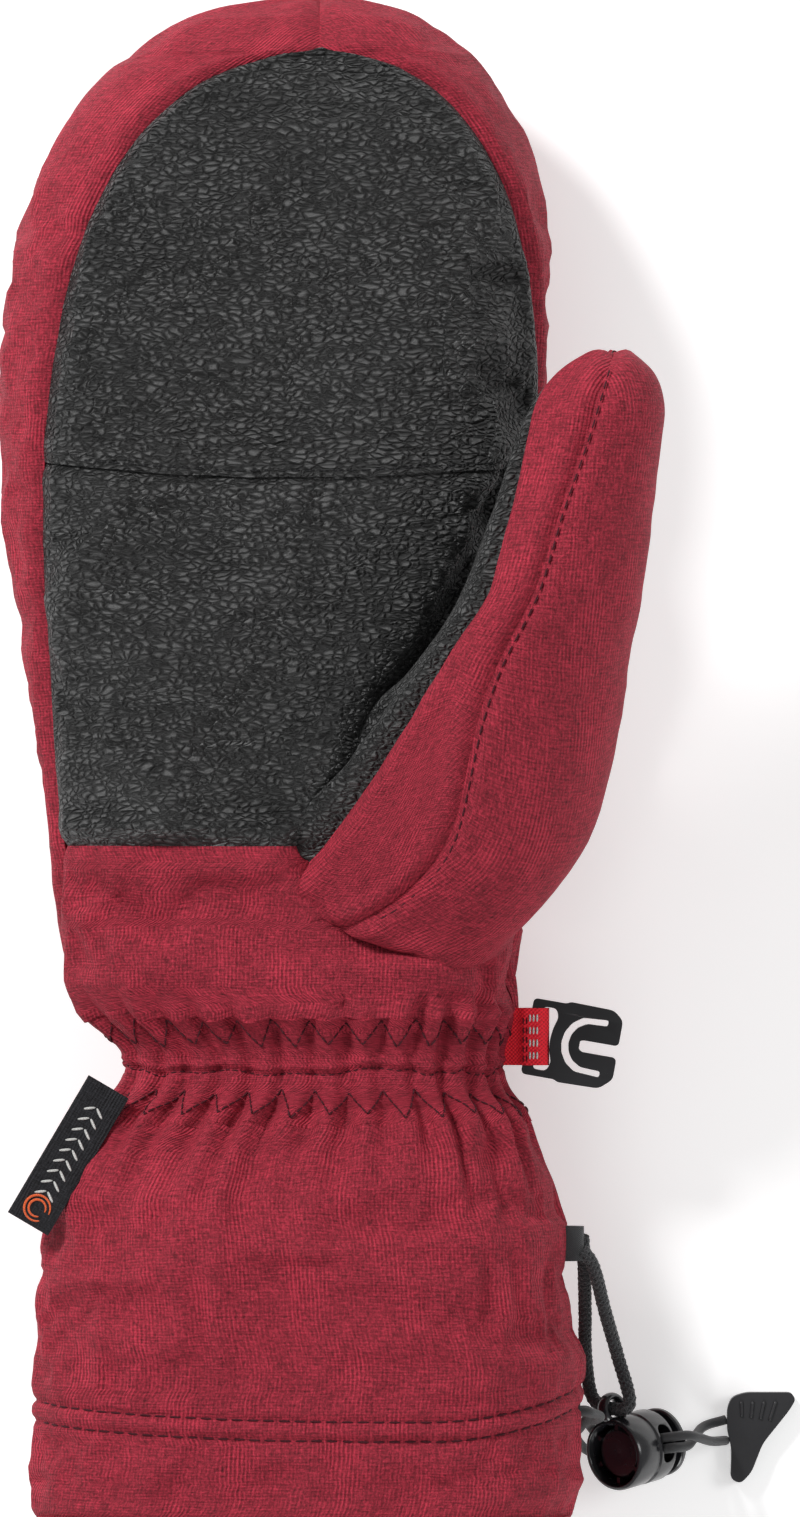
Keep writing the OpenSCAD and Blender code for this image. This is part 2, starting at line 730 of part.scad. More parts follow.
// The drawcord's two ends, from the grommet through the lock to the tab
end_route_a = [[56.7, -146, 33.6], [58.9, -146.4, 32], [60.9, -147.5, 26.5],
               [59.7, -148.6, 20.6], [58.3, -149.3, 15.4], [60.4, -152.4, 6.6],
               [64.9, -155, 5.8], [70.6, -153.9, 11.1], [76.5, -152.7, 16.9],
               [81.2, -152.2, 18.4], [86, -153.9, 11.4], [89.6, -154.3, 2.6]];
end_route_b = [[56.7, -146, 28.4], [58.5, -146.9, 26], [56.7, -150, 20.5],
               [55.6, -152.8, 11.6], [58.6, -156.6, 4], [64.6, -157.8, 5],
               [70.4, -156.65, 10.6], [76.1, -155.3, 16.4], [77.9, -155, 17.8],
               [81, -154.6, 14.2], [84.4, -151.2, 4.6], [89.6, -149.6, 2.2]];

module drawcord_end_a() {
    color(leather) tube(smooth(end_route_a), elastic_d);
}

module drawcord_end_b() {
    color(leather) tube(smooth(end_route_b), elastic_d);
}

back_shell();
outer_side_panel();
inner_side_panel();
palm_upper_leather();
palm_lower_leather();
heel_panel();
waterproof_insert();
back_insulation();
palm_insulation();
hand_lining();
upper_wrist_casing();
thumb_front_panel();
thumb_back_panel();
thumb_leather();
thumb_insert();
thumb_insulation();
thumb_lining();
lower_wrist_casing();
wrist_elastic();
gauntlet_palm_panel();
gauntlet_back_panel();
gauntlet_wadding();
gauntlet_lining();
hem_facing();
hem_interlining();
drawcord();
cord_grommet();
cord_anchor_tab();
side_label();
webbing_loop();
hook_clip();
lock_barrel();
lock_plunger();
lock_spring();
pull_tab();
anchor_cord();
drawcord_end_a();
drawcord_end_b();
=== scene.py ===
import math

import bpy
import numpy as np
from mathutils import Matrix, Vector, noise


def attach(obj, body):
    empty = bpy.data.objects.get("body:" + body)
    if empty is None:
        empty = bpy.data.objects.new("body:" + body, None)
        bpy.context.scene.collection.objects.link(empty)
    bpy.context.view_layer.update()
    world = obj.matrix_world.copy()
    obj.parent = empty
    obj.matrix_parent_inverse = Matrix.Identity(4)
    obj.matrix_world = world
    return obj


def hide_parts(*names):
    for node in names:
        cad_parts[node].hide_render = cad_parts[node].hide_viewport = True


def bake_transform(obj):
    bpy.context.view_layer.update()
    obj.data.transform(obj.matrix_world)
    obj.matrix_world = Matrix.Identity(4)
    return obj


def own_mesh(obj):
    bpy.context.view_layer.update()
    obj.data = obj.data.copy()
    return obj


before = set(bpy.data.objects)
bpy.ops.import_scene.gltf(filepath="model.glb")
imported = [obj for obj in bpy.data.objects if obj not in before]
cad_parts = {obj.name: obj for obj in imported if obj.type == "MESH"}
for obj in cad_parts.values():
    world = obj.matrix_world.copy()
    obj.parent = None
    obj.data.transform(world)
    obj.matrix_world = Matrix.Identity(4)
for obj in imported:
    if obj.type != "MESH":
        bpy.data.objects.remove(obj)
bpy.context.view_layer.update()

MM = 0.001
CAPTURE = (800, 1517)

# ---------------------------------------------------------------- camera and light

VIEW_W = 0.1793
VIEW_X = 0.0160
VIEW_Z = 0.027
CAMERA_UP = 2.6
SENSOR = 36


def make_camera():
    data = bpy.data.cameras.new("camera")
    data.sensor_fit = "VERTICAL"
    data.sensor_height = SENSOR
    view_h = VIEW_W * CAPTURE[1] / CAPTURE[0]
    data.lens = SENSOR * (CAMERA_UP - VIEW_Z) / view_h
    data.clip_end = 20
    camera = bpy.data.objects.new("camera", data)
    camera.location = (VIEW_X, 0, CAMERA_UP)
    bpy.context.scene.collection.objects.link(camera)
    bpy.context.scene.camera = camera


def make_light(name, place, aim, size, power):
    data = bpy.data.lights.new(name, "AREA")
    data.shape = "DISK"
    data.size = size
    data.energy = power
    light = bpy.data.objects.new(name, data)
    light.location = place
    light.rotation_euler = (Vector(aim) - Vector(place)).to_track_quat("-Z", "Y").to_euler()
    bpy.context.scene.collection.objects.link(light)


def make_stage():
    bpy.ops.mesh.primitive_plane_add(size=6, location=(0, 0, 0))
    floor = bpy.context.object
    floor.name = "floor"
    mat = bpy.data.materials.new("floor")
    mat.use_nodes = True
    shader = mat.node_tree.nodes["Principled BSDF"]
    shader.inputs["Base Color"].default_value = (0.9, 0.9, 0.9, 1)
    shader.inputs["Roughness"].default_value = 0.9
    shader.inputs["Emission Color"].default_value = (1, 1, 1, 1)
    shader.inputs["Emission Strength"].default_value = 0.34
    floor.data.materials.append(mat)
    world = bpy.data.worlds.new("studio")
    world.use_nodes = True
    world.node_tree.nodes["Background"].inputs["Color"].default_value = (1, 1, 1, 1)
    world.node_tree.nodes["Background"].inputs["Strength"].default_value = 0.34
    bpy.context.scene.world = world
    bpy.context.scene.view_settings.view_transform = "Standard"
    make_light("key", (-0.95, 1.05, 0.95), (0, 0, 0.02), 0.42, 29)
    make_light("fill", (1.1, 0.2, 0.9), (0, 0, 0.02), 0.6, 5)
    make_light("low", (0.1, -1.2, 0.55), (0, 0, 0.03), 0.6, 5)


# ---------------------------------------------------------------- materials


class Nodes:
    """Short names for building one material's node tree."""

    def __init__(self, name):
        self.mat = bpy.data.materials.new(name)
        self.mat.use_nodes = True
        self.tree = self.mat.node_tree
        self.shader = self.tree.nodes["Principled BSDF"]

    def add(self, kind, **values):
        node = self.tree.nodes.new(kind)
        for key, value in values.items():
            if hasattr(node, key):
                setattr(node, key, value)
            else:
                node.inputs[key.replace("_", " ")].default_value = value
        return node

    def link(self, a, b):
        self.tree.links.new(a, b)

    def coords(self, which, scale):
        source = self.add("ShaderNodeTexCoord")
        mapping = self.add("ShaderNodeMapping")
        mapping.inputs["Scale"].default_value = scale
        self.link(source.outputs[which], mapping.inputs["Vector"])
        return mapping.outputs["Vector"]

    def math(self, operation, a, b=0.0):
        node = self.add("ShaderNodeMath", operation=operation)
        for socket, value in zip(node.inputs, (a, b)):
            if hasattr(value, "links"):
                self.link(value, socket)
            else:
                socket.default_value = value
        return node.outputs[0]

    def total(self, *terms):
        """Sum of sockets, each given alone or with its weight."""
        out = None
        for term in terms:
            term = self.math("MULTIPLY", *term) if isinstance(term, tuple) else term
            out = term if out is None else self.math("ADD", out, term)
        return out

    def wave(self, value, period):
        return self.math("SINE", self.math("MULTIPLY", value, 2 * math.pi / period))

    def colour(self, fac, stops, base):
        """Base colour from a ramp whose stops are multiples of one colour."""
        self.link(self.ramp(fac, [(place, scaled(base, k)) for place, k in stops]),
                  self.shader.inputs["Base Color"])

    def roughness(self, fac, low, high):
        self.link(self.grey(fac, low, high), self.shader.inputs["Roughness"])

    def noise(self, vector, scale, detail=3.0, roughness=0.55):
        node = self.add("ShaderNodeTexNoise", Scale=scale, Detail=detail, Roughness=roughness)
        self.link(vector, node.inputs["Vector"])
        return node.outputs["Fac"]

    def ramp(self, fac, stops):
        node = self.add("ShaderNodeValToRGB")
        ramp = node.color_ramp
        while len(ramp.elements) < len(stops):
            ramp.elements.new(0.5)
        for element, (place, colour) in zip(ramp.elements, stops):
            element.position = place
            element.color = (*colour, 1)
        self.link(fac, node.inputs["Fac"])
        return node.outputs["Color"]

    def grey(self, fac, low, high):
        node = self.add("ShaderNodeMapRange")
        node.inputs["To Min"].default_value = low
        node.inputs["To Max"].default_value = high
        self.link(fac, node.inputs["Value"])
        return node.outputs["Result"]

    def bump(self, height, strength, distance):
        node = self.add("ShaderNodeBump", Strength=strength, Distance=distance)
        self.link(height, node.inputs["Height"])
        self.link(node.outputs["Normal"], self.shader.inputs["Normal"])

    def set(self, **values):
        for key, value in values.items():
            self.shader.inputs[key.replace("_", " ")].default_value = value


def scaled(colour, k):
    return tuple(min(1.0, c * k) for c in colour)


def twill(name, colour, rib=0.95, sheen=0.06):
    """Ribbed stretch twill: fine ribs along the cloth, crossed by finer threads."""
    n = Nodes(name)
    uv = n.coords("UV", (1, 1, 1))
    wobble = n.noise(uv, 0.3, 2)
    split = n.add("ShaderNodeSeparateXYZ")
    n.link(uv, split.inputs["Vector"])
    ribs = n.wave(n.total(split.outputs["X"], (wobble, 0.6)), rib)
    wefts = n.wave(split.outputs["Y"], rib * 0.7)
    patches = n.noise(n.coords("UV", (1, 0.45, 1)), 0.09, 3, 0.6)
    strength = n.math("MAXIMUM", n.math("MULTIPLY", n.math("SUBTRACT", patches, 0.42), 5.0),
                      0.28)
    speckle = n.noise(n.coords("UV", (1.4, 1.1, 1)), 1.2, 4, 0.85)
    slub = n.noise(n.coords("UV", (2.4, 0.3, 1)), 0.8, 3, 0.7)
    cross = n.noise(n.coords("UV", (0.3, 2.4, 1)), 0.8, 3, 0.7)
    woven = n.total((ribs, strength), (wefts, 0.25))
    grain = n.total(slub, cross, (speckle, 2.0))
    # the rib tone in the colour is partly the weave's own pattern and partly painted highlight on
    # the ribs and painted shade in the grooves between them
    n.colour(n.total((woven, 0.075), (grain, 0.4), (strength, 0.06)),
             [(0.62, 0.3), (0.8, 1), (1.0, 2.3)], colour)
    n.roughness(speckle, 0.62, 0.86)
    n.set(Sheen_Weight=sheen, Sheen_Roughness=0.45, Specular_IOR_Level=0.22)
    n.shader.inputs["Sheen Tint"].default_value = (*scaled(colour, 1.8), 1)
    n.bump(n.total((woven, 0.9), (grain, 1.1)), 0.6, 0.0003)
    return n.mat


def pebble_leather(name, colour):
    """Leather with a pebbled grain, creases between the pebbles and soft wear. Its colour carries
    painted shade in the grooves and creases and painted highlight on the pebble tops.
    """
    n = Nodes(name)
    place = n.coords("Object", (0.72, 1.45, 1.1))
    warp = n.add("ShaderNodeTexNoise", Scale=170.0, Detail=2.0)
    n.link(place, warp.inputs["Vector"])
    mixed = n.add("ShaderNodeVectorMath", operation="MULTIPLY_ADD")
    n.link(warp.outputs["Color"], mixed.inputs[0])
    mixed.inputs[1].default_value = (0.0042, 0.0042, 0.0042)
    n.link(place, mixed.inputs[2])
    lines = n.add("ShaderNodeTexVoronoi", Scale=590.0, feature="DISTANCE_TO_EDGE")
    n.link(mixed.outputs[0], lines.inputs["Vector"])
    pebbles = n.add("ShaderNodeMapRange", interpolation_type="SMOOTHSTEP")
    pebbles.inputs["From Max"].default_value = 0.3
    n.link(lines.outputs["Distance"], pebbles.inputs["Value"])
    pebbles = pebbles.outputs["Result"]
    long_creases = n.noise(n.coords("Object", (0.35, 1.9, 1)), 130, 3, 0.5)
    creases = n.math("ABSOLUTE", n.math("SUBTRACT", long_creases, 0.5))
    creases = n.math("MINIMUM", n.math("MULTIPLY", creases, 14.0), 1.0)
    fine = n.noise(place, 1700, 3, 0.7)
    broad = n.noise(place, 26, 3)
    wear = n.noise(place, 95, 3, 0.5)
    # painted shade and highlight: the colour darkens in the grooves between pebbles and along the
    # creases, and the pebble tops are painted up to 4.4 times lighter than the base colour
    n.colour(n.total((pebbles, 0.38), (creases, 0.12), (broad, 0.36), (fine, 0.3)),
             [(0.42, 0.02), (0.6, 0.42), (0.84, 4.4)], colour)
    n.roughness(wear, 0.42, 0.6)
    n.set(Specular_IOR_Level=0.5, Sheen_Weight=0.09, Sheen_Roughness=0.35)
    n.bump(n.total((pebbles, 0.9), (creases, 0.55), (fine, 0.35), (wear, 1.1)), 1.0, 0.0018)
    return n.mat


def moulded(name, colour, rough, grain=900.0, strength=0.12, coat=0.0):
    """Moulded plastic or rubber with a fine spark-eroded grain."""
    n = Nodes(name)
    place = n.coords("Object", (1, 1, 1))
    fine = n.noise(place, grain, 3)
    broad = n.noise(place, 60, 2)
    n.colour(broad, [(0.3, 0.8), (0.7, 1.35)], colour)
    n.roughness(fine, rough - 0.07, rough + 0.09)
    n.set(Specular_IOR_Level=0.5, Coat_Weight=coat, Coat_Roughness=0.12)
    n.bump(fine, strength, 0.0002)
    return n.mat


def weave(name, colour, pitch, rough=0.7, sheen=0.3, lift=1.5):
    """Plain or satin tape: threads crossing over and under each other."""
    n = Nodes(name)
    uv = n.coords("UV", (1, 1, 1))
    split = n.add("ShaderNodeSeparateXYZ")
    n.link(uv, split.inputs["Vector"])
    cross = n.math("MULTIPLY", n.wave(split.outputs["X"], pitch),
                   n.wave(split.outputs["Y"], pitch))
    grain = n.noise(uv, 3.5, 3)
    n.colour(n.total((cross, 0.3), grain), [(0.2, 0.6), (0.5, 1), (0.85, lift)], colour)
    n.roughness(grain, rough - 0.1, rough + 0.12)
    n.set(Sheen_Weight=sheen, Specular_IOR_Level=0.3)
    n.bump(n.math("ADD", cross, grain), 0.5, 0.0002)
    return n.mat


def wadding(name, colour):
    n = Nodes(name)
    place = n.coords("Object", (1, 1, 1))
    fluff = n.noise(place, 420, 6, 0.75)
    n.colour(fluff, [(0.25, 0.8), (0.75, 1.12)], colour)
    n.roughness(fluff, 0.8, 1.0)
    n.set(Sheen_Weight=0.4)
    n.bump(fluff, 0.8, 0.0012)
    return n.mat


def wire(name):
    n = Nodes(name)
    place = n.coords("Object", (1, 1, 8))
    drawn = n.noise(place, 500, 3)
    n.link(n.ramp(drawn, [(0.3, (0.5, 0.5, 0.52)), (0.7, (0.7, 0.7, 0.72))]),
           n.shader.inputs["Base Color"])
    n.roughness(drawn, 0.22, 0.36)
    n.set(Metallic=1.0)
    return n.mat


BURGUNDY = (0.232, 0.0155, 0.029)
BLACK = (0.022, 0.023, 0.025)
MATERIALS = {
    "shell": twill("shell_twill", BURGUNDY),
    "casing": twill("casing_fabric", BURGUNDY),
    "leather": pebble_leather("palm_leather", (0.0195, 0.0195, 0.0195)),
    "thread": weave("dark_thread", (0.06, 0.004, 0.010), 0.8, 0.7, 0.0, 1.2),
    "black_thread": weave("black_thread", (0.006, 0.006, 0.007), 0.8, 0.6, 0.0, 1.2),
    "fill": wadding("insulation", (0.75, 0.74, 0.70)),
    "insert": wadding("membrane", (0.80, 0.80, 0.76)),
    "lining": wadding("lining_fleece", (0.055, 0.055, 0.06)),
    "elastic": twill("elastic_band", (0.2, 0.025, 0.045), 1.4),
    "cord": weave("braided_cord", BLACK, 0.7, 0.65, lift=2.4),
    "smooth_cord": weave("smooth_elastic", BLACK, 0.45, 0.5, lift=1.8),
    "label": twill("label_tape", (0.012, 0.012, 0.014), 0.7, 0.1),
    "mark": weave("label_marks", (0.62, 0.62, 0.6), 0.5),
    "ring": weave("label_ring", (0.75, 0.11, 0.02), 0.5),
    "webbing": weave("red_webbing", (0.85, 0.012, 0.03), 0.9, 0.6, 0.1, 1.2),
    "clip": moulded("clip_plastic", (0.013, 0.013, 0.015), 0.38),
    "lock": moulded("lock_plastic", (0.009, 0.009, 0.011), 0.24, 600.0, 0.05, 0.35),
    "tab": moulded("tab_rubber", (0.014, 0.014, 0.016), 0.5, 1100.0, 0.2),
    "spring": wire("spring_steel"),
}

# ---------------------------------------------------------------- mesh helpers


def hand_in(piece, node, body=None):
    """Put a piece on the body it rides on and hide the CAD part it stands in for."""
    if body:
        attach(piece, body)
    if node:
        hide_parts(node)


def mesh_object(name, points, faces, material, uvs=None, smooth=True):
    """New object from points in millimetres."""
    mesh = bpy.data.meshes.new(name)
    mesh.from_pydata([tuple(p) for p in np.asarray(points) * MM], [], faces)
    mesh.validate()
    obj = bpy.data.objects.new(name, mesh)
    bpy.context.scene.collection.objects.link(obj)
    mesh.materials.append(MATERIALS[material])
    if uvs is not None:
        layer = mesh.uv_layers.new(name="cloth")
        index = np.empty(len(mesh.loops), dtype=np.int32)
        mesh.loops.foreach_get("vertex_index", index)
        layer.data.foreach_set("uv", np.asarray(uvs, dtype=np.float32)[index].ravel())
    if smooth:
        mesh.shade_smooth()
    return obj


def grid_faces(rows, cols, ring=False, closed=False):
    """Four-sided faces of a grid. A ring joins its sides, a closed one also its ends."""
    return [(r * cols + c, r * cols + (c + 1) % cols,
             (r + 1) % rows * cols + (c + 1) % cols, (r + 1) % rows * cols + c)
            for r in range(rows - (not closed)) for c in range(cols - (not ring))]


def arc_lengths(grid, axis):
    step = np.linalg.norm(np.diff(grid, axis=axis), axis=2)
    start = np.zeros_like(np.take(step, [0], axis=axis))
    return np.concatenate([start, np.cumsum(step, axis=axis)], axis=axis)


def grid_object(name, grid, material, thickness=1.0, ring=False):
    """Sheet through a grid of points, thickened inwards. UVs are lengths in mm."""
    rows, cols = grid.shape[:2]
    across = arc_lengths(grid, 1)
    across = across - across[:, [cols // 2]]
    along = arc_lengths(grid, 0)
    along = along[:, [cols // 2]].repeat(cols, axis=1)
    uvs = np.stack([across, along], axis=2).reshape(-1, 2)
    obj = mesh_object(name, grid.reshape(-1, 3), grid_faces(rows, cols, ring), material, uvs)
    for edge in obj.data.edges:
        r, c = zip(*(divmod(v, cols) for v in edge.vertices))
        on_border = (r[0] == r[1] and r[0] in (0, rows - 1)) or (
            not ring and c[0] == c[1] and c[0] in (0, cols - 1))
        edge.use_edge_sharp = on_border
    if thickness:
        solid = obj.modifiers.new("thickness", "SOLIDIFY")
        solid.thickness = thickness * MM
        solid.offset = -1
    return obj


def between(grid, i0, j0, j1, u, v):
    """Value of a grid between two rows and two columns."""
    low = grid[i0, j0] * (1 - v) + grid[i0, j1] * v
    high = grid[i0 + 1, j0] * (1 - v) + grid[i0 + 1, j1] * v
    return low * (1 - u) + high * u


def unit(v):
    return v / np.maximum(np.linalg.norm(v, axis=-1, keepdims=True), 1e-9)


def frames_along(path):
    """Directions across a path that turn with it and don't spin."""
    path = np.asarray(path, dtype=float)
    ahead = unit(np.gradient(path, axis=0))
    start = np.cross(ahead[0], (0.31, -0.52, 0.8))
    normals = [unit(start)]
    for t in ahead[1:]:
        n = normals[-1] - np.dot(normals[-1], t) * t
        normals.append(unit(n))
    normals = np.array(normals)
    return normals, np.cross(ahead, normals)


def tube_parts(path, radius, sides):
    path = np.asarray(path, dtype=float)
    radius = np.broadcast_to(radius, len(path))
    n, b = frames_along(path)
    turn = np.linspace(0, 2 * math.pi, sides, endpoint=False)
    ring = (np.cos(turn)[None, :, None] * n[:, None, :]
            + np.sin(turn)[None, :, None] * b[:, None, :])
    points = path[:, None, :] + radius[:, None, None] * ring
    faces = grid_faces(len(path), sides, ring=True)
    faces = [tuple(reversed(f)) for f in faces]
    faces.append(tuple(range(sides)))
    last = (len(path) - 1) * sides
    faces.append(tuple(last + s for s in reversed(range(sides))))
    along = arc_lengths(path[:, None, :], 0)
    uvs = np.stack([np.broadcast_to(turn * radius[:, None], points.shape[:2]),
                    np.broadcast_to(along, points.shape[:2])], axis=2)
    return points.reshape(-1, 3), faces, uvs.reshape(-1, 2)


def tubes(name, paths, radii, material, sides=8):
    """One object from several tubes; radii is one number or an entry for each path."""
    points, faces, uvs, start = [], [], [], 0
    if not isinstance(radii, list):
        radii = [radii] * len(paths)
    for path, radius in zip(paths, radii):
        p, f, uv = tube_parts(path, radius, sides)
        points.append(p)
        uvs.append(uv)
        faces += [tuple(i + start for i in face) for face in f]
        start += len(p)
    return mesh_object(name, np.concatenate(points), faces, material, np.concatenate(uvs))


def spline(points, steps):
    """Smooth curve through points."""
    p = np.asarray(points, dtype=float)
    p = np.concatenate([[2 * p[0] - p[1]], p, [2 * p[-1] - p[-2]]])
    t = np.linspace(0, 1, steps, endpoint=False)[:, None]
    out = []
    for a, b, c, d in zip(p, p[1:], p[2:], p[3:]):
        out.append(0.5 * (2 * b + (c - a) * t + (2 * a - 5 * b + 4 * c - d) * t ** 2
                          + (3 * b - a - 3 * c + d) * t ** 3))
    return np.concatenate(out + [p[-2:-1]])


def evenly(path, step):
    """The same path with points a step apart."""
    path = np.asarray(path, dtype=float)
    along = arc_lengths(path[:, None, :], 0)[:, 0]
    at = np.linspace(0, along[-1], max(2, int(round(along[-1] / step)) + 1))
    return np.stack([np.interp(at, along, path[:, k]) for k in range(3)], axis=1)


# ---------------------------------------------------------------- the mitten's surface

TIP_Y = 170.0
HEM_Y = -170.0
WRIST_Y = -69.0
TUNNEL_Y = -146.0
MID_Z = 27.0
HALF = 25.0
LEFT_DOME_Y, RIGHT_DOME_Y, THIN_DOME_Y = 73.5, 109.5, 120.0
SIDE_MID, SIDE_DOME = 43.0, 49.15
SIDE_LO, SIDE_HI = -15.0, 195.0

LEFT_EDGE = [(-170, 64), (-164, 66), (-120, 64.5), (-100, 61.5), (-86, 57), (-78, 51.5),
             (-72, 46.5), (-69, 45.6), (-64, 47.5), (-58, 53.5), (-52, 57.3), (-32, 60.6),
             (-9, 63.1), (13, 66.5), (36, 70), (56, 72.7), (74, 73.5)]
RIGHT_EDGE = [(-170, 53.5), (-164, 55.4), (-135, 56.4), (-126, 54), (-106, 52), (-92, 48),
              (-79, 42.7), (-72, 39.5), (-69, 39.1), (-60, 40.1), (-52, 41.6), (-40, 42.4),
              (0, SIDE_MID), (RIGHT_DOME_Y, SIDE_DOME)]
HALF_HEIGHT = [(-130, 31), (-108, 29.5), (-95, 27.5), (-82, 24), (-75, 22.3), (-69, 22),
               (-64, 22.3), (-56, 24), (-48, 25)]
RIGHT_ROUND = [(-170, 35), (-100, 33), (-75, 25), (-48, 25)]
SQUARENESS = [(-170, 2.4), (-95, 2.3), (-80, 2), (-58, 2), (-40, 2.3), (-20, 2.5)]
MIDDLE_Z = [(-115, 31), (-80, 27.5), (-74, 27)]
SWELL = [(-60, 0), (-30, 0.7), (40, 1), (110, 1), (150, 0.3), (170, 0)]
BACK_FULLNESS = [(-60, 1), (-40, 1.12), (120, 1.12), (150, 1.05)]
PALM_SWELL = 4.0


def lookup(v, table):
    """Smoothed straight-line lookup, so that the cloth has no corners."""
    xs = [row[0] for row in table]
    ys = [row[1] for row in table]
    return sum(np.interp(v + s, xs, ys) for s in (-3, -1.5, 0, 1.5, 3)) / 5


def smoothstep(t):
    t = np.clip(t, 0, 1)
    return t * t * (3 - 2 * t)


def power(v, p):
    return np.sign(v) * np.abs(v) ** p


def dome(y, start, end, n):
    s = np.clip((y - start) / (end - start), 0, 1)
    return (1 - s ** n) ** (1 / n)


def skin(y, a, d=0.0):
    """The mitten's plain surface: station y, angle a round it and depth d, all in mm."""
    y = np.asarray(y, dtype=float)
    c, s = np.cos(np.radians(a)), np.sin(np.radians(a))
    yy = np.where(y <= LEFT_DOME_Y, y,
                  LEFT_DOME_Y + (y - LEFT_DOME_Y) * (TIP_Y - d - LEFT_DOME_Y)
                  / (TIP_Y - LEFT_DOME_Y))
    thin = dome(yy, THIN_DOME_Y, TIP_Y - d, 2)
    left = (lookup(yy, LEFT_EDGE) - d) * dome(yy, LEFT_DOME_Y, TIP_Y - d, 2.5)
    right = (lookup(yy, RIGHT_EDGE) - d) * dome(yy, RIGHT_DOME_Y, TIP_Y - d, 2.1)
    round_x = (lookup(yy, RIGHT_ROUND) - d) * thin
    half = (lookup(yy, HALF_HEIGHT) - d) * thin
    centre = right - round_x
    n = lookup(yy, SQUARENESS)
    part = np.where(s >= 0, (a - 90.0), (270.0 - a)) / 90.0
    part = np.where(c >= 0, 0.0, np.clip(part, 0, 1))
    swell = PALM_SWELL * lookup(yy, SWELL) * np.sin(
        math.pi * np.maximum(0, (part - 0.15) / 0.85)) ** 2
    x = np.where(c >= 0, centre + round_x * c, centre + (left + centre) * power(c, 2 / n))
    h = np.where(c >= 0, s, power(s, 2 / n))
    h = h * np.where(s < 0, lookup(yy, BACK_FULLNESS), 1)
    z = lookup(yy, MIDDLE_Z) + half * h + np.sign(s) * swell
    return np.stack(np.broadcast_arrays(x, yy, np.maximum(z, d)), axis=-1)


def angle_at(y, x):
    """Angle at which the palm side of the plain surface passes over x."""
    y = np.asarray(y, dtype=float)
    a = np.linspace(-20, 200, 441)
    rows = skin(np.atleast_1d(y)[:, None], a[None, :])[:, :, 0]
    x = np.broadcast_to(x, np.atleast_1d(y).shape)
    found = [np.interp(-xi, -row[40:401], a[40:401]) for xi, row in zip(x, rows)]
    return np.array(found).reshape(y.shape)


def normals_of(grid):
    """Outward directions at the points of a ring grid."""
    dr = np.gradient(grid, axis=0)
    dc = (np.roll(grid, -1, axis=1) - np.roll(grid, 1, axis=1)) / 2
    return unit(np.cross(dc, dr))


def skin_normal(y, a):
    e = 0.6
    dy = skin(y + e, a) - skin(y - e, a)
    da = skin(y, a + e) - skin(y, a - e)
    return unit(np.cross(dy, da))


def rough(points, scale, seed=0.0):
    """Smooth noise at points in mm, about -1 to 1."""
    flat = points.reshape(-1, 3) / scale + seed
    values = [noise.noise(Vector(p)) for p in flat]
    return np.array(values).reshape(points.shape[:-1])


# Folds pressed into the cloth: start and end on the palm side, width and height in mm
FOLDS = [
    ((-56, 60), (24, 62), 4.5, 1.1), ((-44, 47), (4, 34), 9, -1.7),
    ((-58, 22), (-26, 2), 8, -1.1), ((18, 40), (-6, -8), 7, 2.2),
    ((-62, -22), (-34, -42), 3.2, -1.8), ((-60, -32), (-30, -50), 4, 1.6),
    ((-38, -30), (2, -50), 4.5, -1.1), ((-10, -36), (34, -53), 4, 1.1),
    ((22, -54), (38, -48), 2.6, -1.0), ((-24, 130), (18, 118), 14, -0.9),
    ((-26, -86), (-34, -112), 4.5, 1.3), ((-14, -86), (-20, -104), 3.5, -1.2),
    ((-40, -84), (-52, -104), 4, -1.2), ((14, -86), (18, -102), 4, 0.9),
    ((32, -84), (40, -106), 4, -0.9), ((-1, -57), (10, -50.5), 1.7, -1.5),
    ((5, -57.5), (17, -53), 1.7, -1.4), ((18, -58), (27, -52), 1.8, -1.5),
    ((23, -60), (37, -51), 1.8, -1.3), ((-46, -84), (-60, -112), 5, 1.5),
    ((-34, -20), (-46, -26), 3, -1.4), ((-20, -24), (16, -30), 6, 0.9),
    ((-50, 30), (-10, 52), 6, -1.2), ((-40, 4), (-4, 14), 5, -1.1), ((-30, 92), (30, 98), 9, -0.8),
    ((-46, 112), (-20, 140), 6, -0.7), ((-62, -112), (-30, -138), 7, 1.3),
    ((44, -98), (30, -128), 6, -1.0), ((-20, -112), (6, -136), 7, -0.9),
    ((-58, -154), (-20, -160), 4, 0.8), ((4, -158), (46, -154), 4, 0.8),
    ((-50, -136), (-20, -124), 8, 0.9),
    ((10, -128), (48, -118), 9, 0.9), ((-58, 60), (-66, 10), 5, -0.7),
]


def folded(points):
    total = np.zeros(points.shape[:-1])
    palm_side = np.clip((points[..., 2] - 30) / 10, 0, 1)
    for start, end, width, height in FOLDS:
        start, end = np.array(start, float), np.array(end, float)
        line = end - start
        t = ((points[..., :2] - start) @ line) / (line @ line)
        near = start + np.clip(t, 0, 1)[..., None] * line
        away = np.linalg.norm(points[..., :2] - near, axis=-1)
        taper = np.sin(math.pi * np.clip(t * 0.84 + 0.08, 0, 1)) ** 0.7
        total += height * taper * np.exp(-(away / width) ** 2)
    return total * palm_side


# The palm leather rolls over the thumb's leather along this line on the palm side
CREASE = [(47, 75), (41, 65), (36.2, 57), (32, 45.6), (25.9, 34.2), (18.9, 22.7),
          (12.5, 13.6), (8, 5), (5, -5), (0.2, -12), (-5.5, -19), (-5, -25), (-2, -31)]


